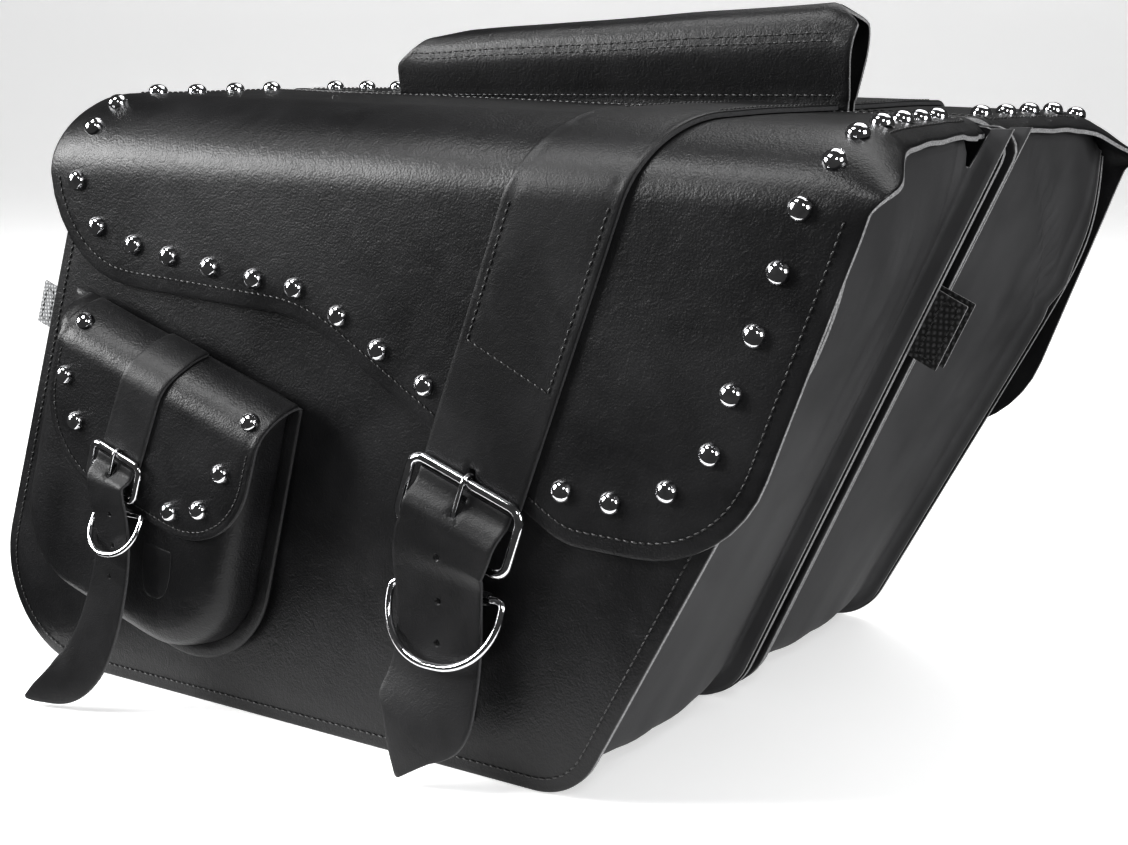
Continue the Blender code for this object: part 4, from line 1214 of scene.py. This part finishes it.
# %% Narrow buckle, billet, ring and tab
SMALL_WIRE = 1.6 * MM
small_v = FLAP_V + CLEAR + SMALL_THICK + CLEAR + SMALL_WIRE
small_bar = (SMALL_BAR[0], small_v, SMALL_BAR[1])
bent_wire("pocket_buckle_frame", [(frame_path(small_bar, BUCKLE_TILT, (36 * MM, 21 * MM)),
                                   SMALL_WIRE, out, True)], "pocket_buckle",
          ("pocket_buckle_frame",), flat=1.2)
bent_wire("pocket_buckle_prong", [(prong_path(small_bar, BUCKLE_TILT,
                                              SMALL_WIRE + CLEAR + 0.9 * MM, 21.5 * MM),
                                   0.9 * MM, across, False)], "pocket_buckle",
          ("pocket_buckle_prong",))
small_ring, small_normal = ring_path((-0.1460, 0.2145, 0.117), (35.5 * MM, 24 * MM),
                                     math.radians(31))
bent_wire("pocket_ring", [(small_ring, 1.5 * MM, small_normal, True)], "pocket_loop",
          ("pocket_ring",))
small_over = small_v + SMALL_WIRE + CLEAR + 1.8 * MM + CLEAR
outline, small_billet_place, run = hanging(
    [(-0.1447, 0.1466, small_v - 0.0016, 0.0135), (-0.1466, 0.1411, small_v - 0.0008, 0.0135),
     (-0.1482, 0.1355, small_over, 0.0133), (-0.1486, 0.1300, small_over, 0.0130),
     (-0.1482, 0.1240, small_over - 0.0006, 0.0126), (-0.1475, 0.1150, small_over - 0.0020, 0.0122),
     (-0.1475, 0.0980, small_over - 0.0024, 0.0122), (-0.1515, 0.0750, small_over - 0.0010, 0.0132),
     (-0.1600, 0.0500, small_over + 0.0010, 0.0140), (-0.1710, 0.0300, small_over + 0.0030, 0.0145),
     (-0.1840, 0.0165, small_over + 0.0070, 0.0130), (-0.2000, 0.0085, small_over + 0.0120, 0.0060),
     (-0.2080, 0.0050, small_over + 0.0145, 0.0010)],
    lambda share: 0.5 * MM * math.sin(math.tau * share))
hide_sheet("pocket_billet", outline, small_billet_place, 2.0 * MM, "pocket_buckle",
           ("pocket_billet",), pitch=1.9 * MM, finish=STRAP_HIDE,
           holes=[slot_hole(2 * MM, 10.5 * MM, 1.6 * MM)] + [disc(0, t, 1.1 * MM) for t in
                                                           (32 * MM, 50 * MM, 68 * MM)],
           swell=ripple(20 * MM, 0.3 * MM, seed=8.0), rim=0.8 * MM)
outline, tab_place, run = hanging(
    [(-0.1235, 0.100, POCKET_V + CLEAR, 0.0105), (-0.1265, 0.084, POCKET_V + CLEAR, 0.0105),
     (-0.1285, 0.074, POCKET_V + CLEAR, 0.0080), (-0.1290, 0.070, POCKET_V + CLEAR, 0.0040)],
    lambda share: 0.0)
hide_sheet("pocket_tab", outline, tab_place, 2.0 * MM, "bag", ("pocket_tab",), pitch=2 * MM,
           finish=STRAP_HIDE, rim=0.8 * MM)

# %% [markdown]
# ## Keeper loop
# A small fold of strap leather holds the ring's bar. It is drawn as a spiral section, a little
# more than half a turn, swept along the bar.

# %% Ring loop
LOOP_X, LOOP_HALF = 0.078, 6 * MM
near, far = 2.0 * MM + CLEAR, 2.0 * MM + CLEAR + 1.2 * MM
turns = [math.radians(30 + 300 * k / 24) for k in range(25)]
section = [(far, a) for a in turns] + [(near, a) for a in turns[::-1]]
points, faces = [], []
for number, slide in enumerate(np.linspace(-LOOP_HALF, LOOP_HALF, 7)):
    taper = 0.15 * MM * (1 if number in (0, 6) else 0)
    for radius, a in section:
        size = radius - taper if radius == far else radius + taper
        points.append((LOOP_X + slide, RING_BAR[1] + size * math.cos(a),
                       RING_BAR[2] + size * math.sin(a)))
total = len(section)
for ring_number in range(6):
    for k in range(total):
        a, b = ring_number * total + k, ring_number * total + (k + 1) % total
        faces.append((a, b, b + total, a + total))
for base in (0, 6 * total):
    for k in range(24):
        faces.append((base + k, base + k + 1, base + total - 2 - k, base + total - 1 - k))
publish("ring_loop", points, faces, (STRAP_HIDE,), "billet", ("ring_loop",))

# %% [markdown]
# ## Yoke
# Two leather wings are sewn to the back panels and meet in an arch, where hook and loop strips hold
# them together. Each wing is a sheet on a curved section, wavy because nothing stretches it.

# %% Yoke wings
YOKE_THICK = 2.5 * MM
YOKE_SECTION = smooth_through([(0.0026, 0.262), (0.0026, 0.3300), (0.0034, 0.3400),
                               (0.0066, 0.3520), (0.0094, 0.3640), (0.0090, 0.3740),
                               (0.0056, 0.3820), (0.0003, YOKE_TOP - YOKE_THICK)], steps=8)


def yoke_place(x, t, off):
    """A point of the wing; t counts the section's points and off lifts it outwards."""
    fine = min(max(t, 0.0), 7.0) * 8
    index = min(int(fine), len(YOKE_SECTION) - 2)
    here = Vector(YOKE_SECTION[index]).lerp(Vector(YOKE_SECTION[index + 1]), fine - index)
    ahead = Vector(YOKE_SECTION[min(index + 3, len(YOKE_SECTION) - 1)])
    run = (ahead - Vector(YOKE_SECTION[max(index - 2, 0)])).normalized()
    normal = Vector((run.y, -run.x))
    if t > 6.5:
        normal = normal.lerp(Vector((0.0, 1.0)), min(1.0, (t - 6.5) * 2)).normalized()
    lifted = here + normal * off
    low_end = max(0.0, min(1.0, (0.17 - x) / 0.25))
    right_end = max(0.0, (x - 0.172) / 0.014)
    lifted.y -= max(0.0, lifted.y - 0.33) * (0.22 * low_end + 0.10 * right_end)
    sway = 0.9 * MM * noise.noise(Vector((x / 0.055, t * 0.4, 1.0))) * min(1.0, max(0.0, t - 1))
    return Vector((x, max(lifted.x + sway * 0.5, 0.3 * MM), min(lifted.y, YOKE_TOP)
                   + 1.2 * MM * min(1.0, max(0.0, t - 2) / 3)
                   * noise.noise(Vector((x / 0.06, 5.0, 2.0)))))


YOKE_STEP = 12 * MM


def yoke_lay(a, b, off):
    """yoke_place for the cut shape's own coordinates, YOKE_STEP for each step of t."""
    return yoke_place(a, b / YOKE_STEP, off)


wing = rounded([(-0.116, 0.0, 0.0), (0.180, 0.0, 0.0), (0.182, 24 * MM, 0.0),
                (0.187, 72 * MM, 6 * MM), (0.172, 84 * MM, 0.0), (-0.062, 84 * MM, 8 * MM),
                (-0.090, 72 * MM, 12 * MM), (-0.110, 48 * MM, 12 * MM)])
wing_lines = [np.array([(x, t * YOKE_STEP) for x in np.arange(-0.098, 0.176, 3 * MM)])
              for t in (2.1, 4.4, 4.8)]
hide_sheet("yoke", wing, yoke_lay, YOKE_THICK, "bag", ("yoke",), groove=tuple(wing_lines))
seam("yoke_stitches", [lay(line, yoke_lay, YOKE_THICK - 0.2 * MM) for line in wing_lines], "bag")

# %% [markdown]
# The fastening strips are nylon pile, a fuzz of loops 2 mm long. Each is drawn as a thin slab whose
# pile face rises and falls a little from point to point.

# %% Hook and loop strips
strip = [(-0.080, 12 * MM), (0.176, 12 * MM), (0.176, 50 * MM), (-0.080, 50 * MM)]


def strip_lay(a, b, off):
    """A point of the strip, on the wing's inner face."""
    return yoke_lay(a, b, off - CLEAR - 1.4 * MM)


edge = resample([Vector(p) for p in strip], 3 * MM)
flat, tris = fill(edge, [], [], 4 * MM, 2 * MM)
tufts = []
for index, (a, b) in enumerate(flat):
    tall = 1.0 + 0.5 * noise.noise(Vector((a * 900, b * 900, 0)))
    tufts.append(strip_lay(a, b, 0.6 * MM * tall))
back_side = [strip_lay(a, b, 1.4 * MM) for a, b in flat]
count = len(flat)
use = {}
for tri in tris.tolist():
    for one, two in zip(tri, tri[1:] + tri[:1]):
        use[(min(one, two), max(one, two))] = use.get((min(one, two), max(one, two)), 0) + 1
strip_faces = [t[::-1] for t in tris.tolist()] + [[c + count for c in t] for t in tris.tolist()]
strip_faces += [[one, two, two + count, one + count] for (one, two), n in use.items() if n == 1]
for (prefix, side), node in zip(SIDES, ("yoke_hook_strip", "yoke_loop_strip")):
    data = bpy.data.meshes.new(prefix + "strip")
    data.from_pydata([(p.x, p.y * side, p.z) for p in tufts + back_side], [], strip_faces)
    data.materials.append(FUZZ)
    mesh = bmesh.new()
    mesh.from_mesh(data)
    bmesh.ops.recalc_face_normals(mesh, faces=mesh.faces[:])
    mesh.to_mesh(data)
    mesh.free()
    piece = bpy.data.objects.new(prefix + "yoke_strip", data)
    bpy.context.scene.collection.objects.link(piece)
    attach(piece, prefix + "bag")
    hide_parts(prefix + node)

# %% [markdown]
# ## Webbing tabs
# Two webbing tabs come out of the seams. The wide black one leaves the back seam at the leaning
# end, and the small pale one leaves the front seam at the other end. Both carry a box of stitches.

# %% Webbing tabs
def tab(name, root, lean, sign, finish, reach, half):
    """A webbing tab that leaves a seam at root, square to the edge's lean."""
    along = Vector((lean, 0.0, 1.0)).normalized()
    outwards = Vector((along.z * sign, 0.0, -along.x * sign))

    def place(a, b, off):
        ribs = math.sin(b / (1.1 * MM) * math.pi) * (1 if off > 0.7 * MM else -1)
        bend = 0.7 * MM * math.sin(a / reach[1] * 2.0) * (1 if a > 0 else 0)
        return root + outwards * a + along * b + Vector((0, off + bend + 0.12 * MM * ribs, 0))

    hide_sheet(name, [(reach[0], -half), (reach[1], -half), (reach[1], half), (reach[0], half)],
               place, 1.4 * MM, "bag", (name,), pitch=1.8 * MM, finish=finish,
               rim=0.5 * MM)
    low, high = 0.25 * reach[1], reach[1] - 3 * MM
    side = half - 3.5 * MM
    box_line = [(low, -side), (high, -side), (high, side), (low, side), (low, -side)]
    seam(name + "_stitches", [lay(resample(box_line, 2 * MM, closed=False), place, 1.4 * MM)],
         "bag", pitch=3.2 * MM, radius=0.35 * MM)


FRONT_TAB_Z, REAR_TAB_Z = 0.226, 0.217
tab("front_web_tab", Vector((right_edge(FRONT_TAB_Z, v=BACK_V), BACK_V - CLEAR - 1.4 * MM,
                             FRONT_TAB_Z)), RIGHT_LEAN - BACK_EASE, 1, WEBBING,
    (-14 * MM, 17 * MM), 19 * MM)
tab("rear_web_tab", Vector((left_edge(REAR_TAB_Z), FRONT_V - PANEL - CLEAR - 1.4 * MM,
                            REAR_TAB_Z)), LEFT_LEAN, -1, PALE_WEBBING,
    (-7 * MM, 12 * MM), 13 * MM)

# %% [markdown]
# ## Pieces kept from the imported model
# Stiffener boards, the hidden clip and its webbing already have the right shape. They only need
# their real finish.

# %% Finishes for kept pieces
KEPT = {"back_board": FIBRE_BOARD, "bottom_board": FIBRE_BOARD, "clip_socket": ACETAL,
        "clip_tongue": ACETAL, "clip_webbing": WEBBING}
for prefix, _ in SIDES:
    for node, finish in KEPT.items():
        data = bpy.data.objects[prefix + node].data
        data.materials.clear()
        data.materials.append(finish)
print("kept", len(KEPT) * 2, "nodes")

# %% [markdown]
# ## Floor and light
# The floor is a plain pale sheet that rises into a backdrop far behind. Only the part near the
# bags shows in their gloss, as it would on a small table in a dark studio. A large softbox stands
# front left with a small one below it and one above, one is by the camera, one lights the leaning
# ends, and a wide one hangs over the back.

# %% Floor
floor_data = bpy.data.meshes.new("floor")
SWEEP = [(-6.0, 0.0)] + [(4.0, 0.0)] + [(4.0 + 1.5 * math.sin(a), 1.5 - 1.5 * math.cos(a))
                                        for a in np.linspace(0.1, math.pi / 2, 12)] + [(5.5, 5.0)]
verts = [(x, y, z - 0.0005) for y, z in SWEEP for x in (-6.0, 6.0)]
floor_data.from_pydata(verts, [], [(2 * k, 2 * k + 1, 2 * k + 3, 2 * k + 2)
                                   for k in range(len(SWEEP) - 1)])
floor_data.shade_smooth()
floor_finish, floor_tree, floor_shader = blank("painted_paper_sweep")
grit = add(floor_tree, "ShaderNodeTexNoise", {"Scale": 60.0, "Detail": 2.0})
floor_tree.links.new(ramp(floor_tree, grit.outputs["Fac"], "#f4f4f4", "#fbfbfb"),
                     floor_shader.inputs["Base Color"])
floor_shader.inputs["Roughness"].default_value = 0.9
floor_shader.inputs["Emission Color"].default_value = linear("#ffffff")
floor_shader.inputs["Emission Strength"].default_value = 0.45
floor_data.materials.append(floor_finish)
floor = bpy.data.objects.new("floor", floor_data)
floor.rotation_euler = (0.0, 0.0, math.radians(33))
bpy.context.scene.collection.objects.link(floor)
floor.visible_glossy = False
table_data = bpy.data.meshes.new("table_top")
TABLE_HALF, TABLE_SIDES = (0.37, 0.31), 48
rim = [(TABLE_HALF[0] * math.cos(a), TABLE_HALF[1] * math.sin(a), -0.0002)
       for a in np.linspace(0, math.tau, TABLE_SIDES + 1)[:-1]]
table_data.from_pydata(rim, [], [tuple(range(TABLE_SIDES))])
table_data.materials.append(floor_finish)
table = bpy.data.objects.new("table_top", table_data)
bpy.context.scene.collection.objects.link(table)

# %% Lights
TARGET = Vector((0.0, -0.08, 0.17))


def softbox(name, at, size, power, aim=TARGET):
    """A square area light at a place, turned to the object."""
    light = bpy.data.lights.new(name, "AREA")
    light.shape = "RECTANGLE"
    light.size, light.size_y = size
    light.energy = power
    lamp = bpy.data.objects.new(name, light)
    lamp.location = at
    lamp.rotation_euler = (aim - Vector(at)).to_track_quat("-Z", "Y").to_euler()
    bpy.context.scene.collection.objects.link(lamp)


softbox("key_softbox", (-1.65, -1.25, 1.08), (1.0, 0.8), 74.0)
softbox("low_softbox", (-1.75, -1.50, 0.45), (0.35, 0.3), 3.0)
softbox("high_softbox", (-0.7, -0.9, 2.1), (0.8, 0.5), 34.0)
softbox("shoulder_softbox", (1.3, -1.5, 1.5), (0.4, 0.4), 9.0)
softbox("side_softbox", (2.4, -0.3, 0.9), (1.0, 1.0), 34.0)
softbox("top_softbox", (0.2, 1.2, 2.4), (2.6, 1.6), 40.0)
world = bpy.data.worlds.new("studio_air")
world.use_nodes = True
world.node_tree.nodes["Background"].inputs["Color"].default_value = linear("#f2f2f2")
world.node_tree.nodes["Background"].inputs["Strength"].default_value = 0.045
bpy.context.scene.world = world
bpy.context.scene.view_settings.view_transform = "Standard"
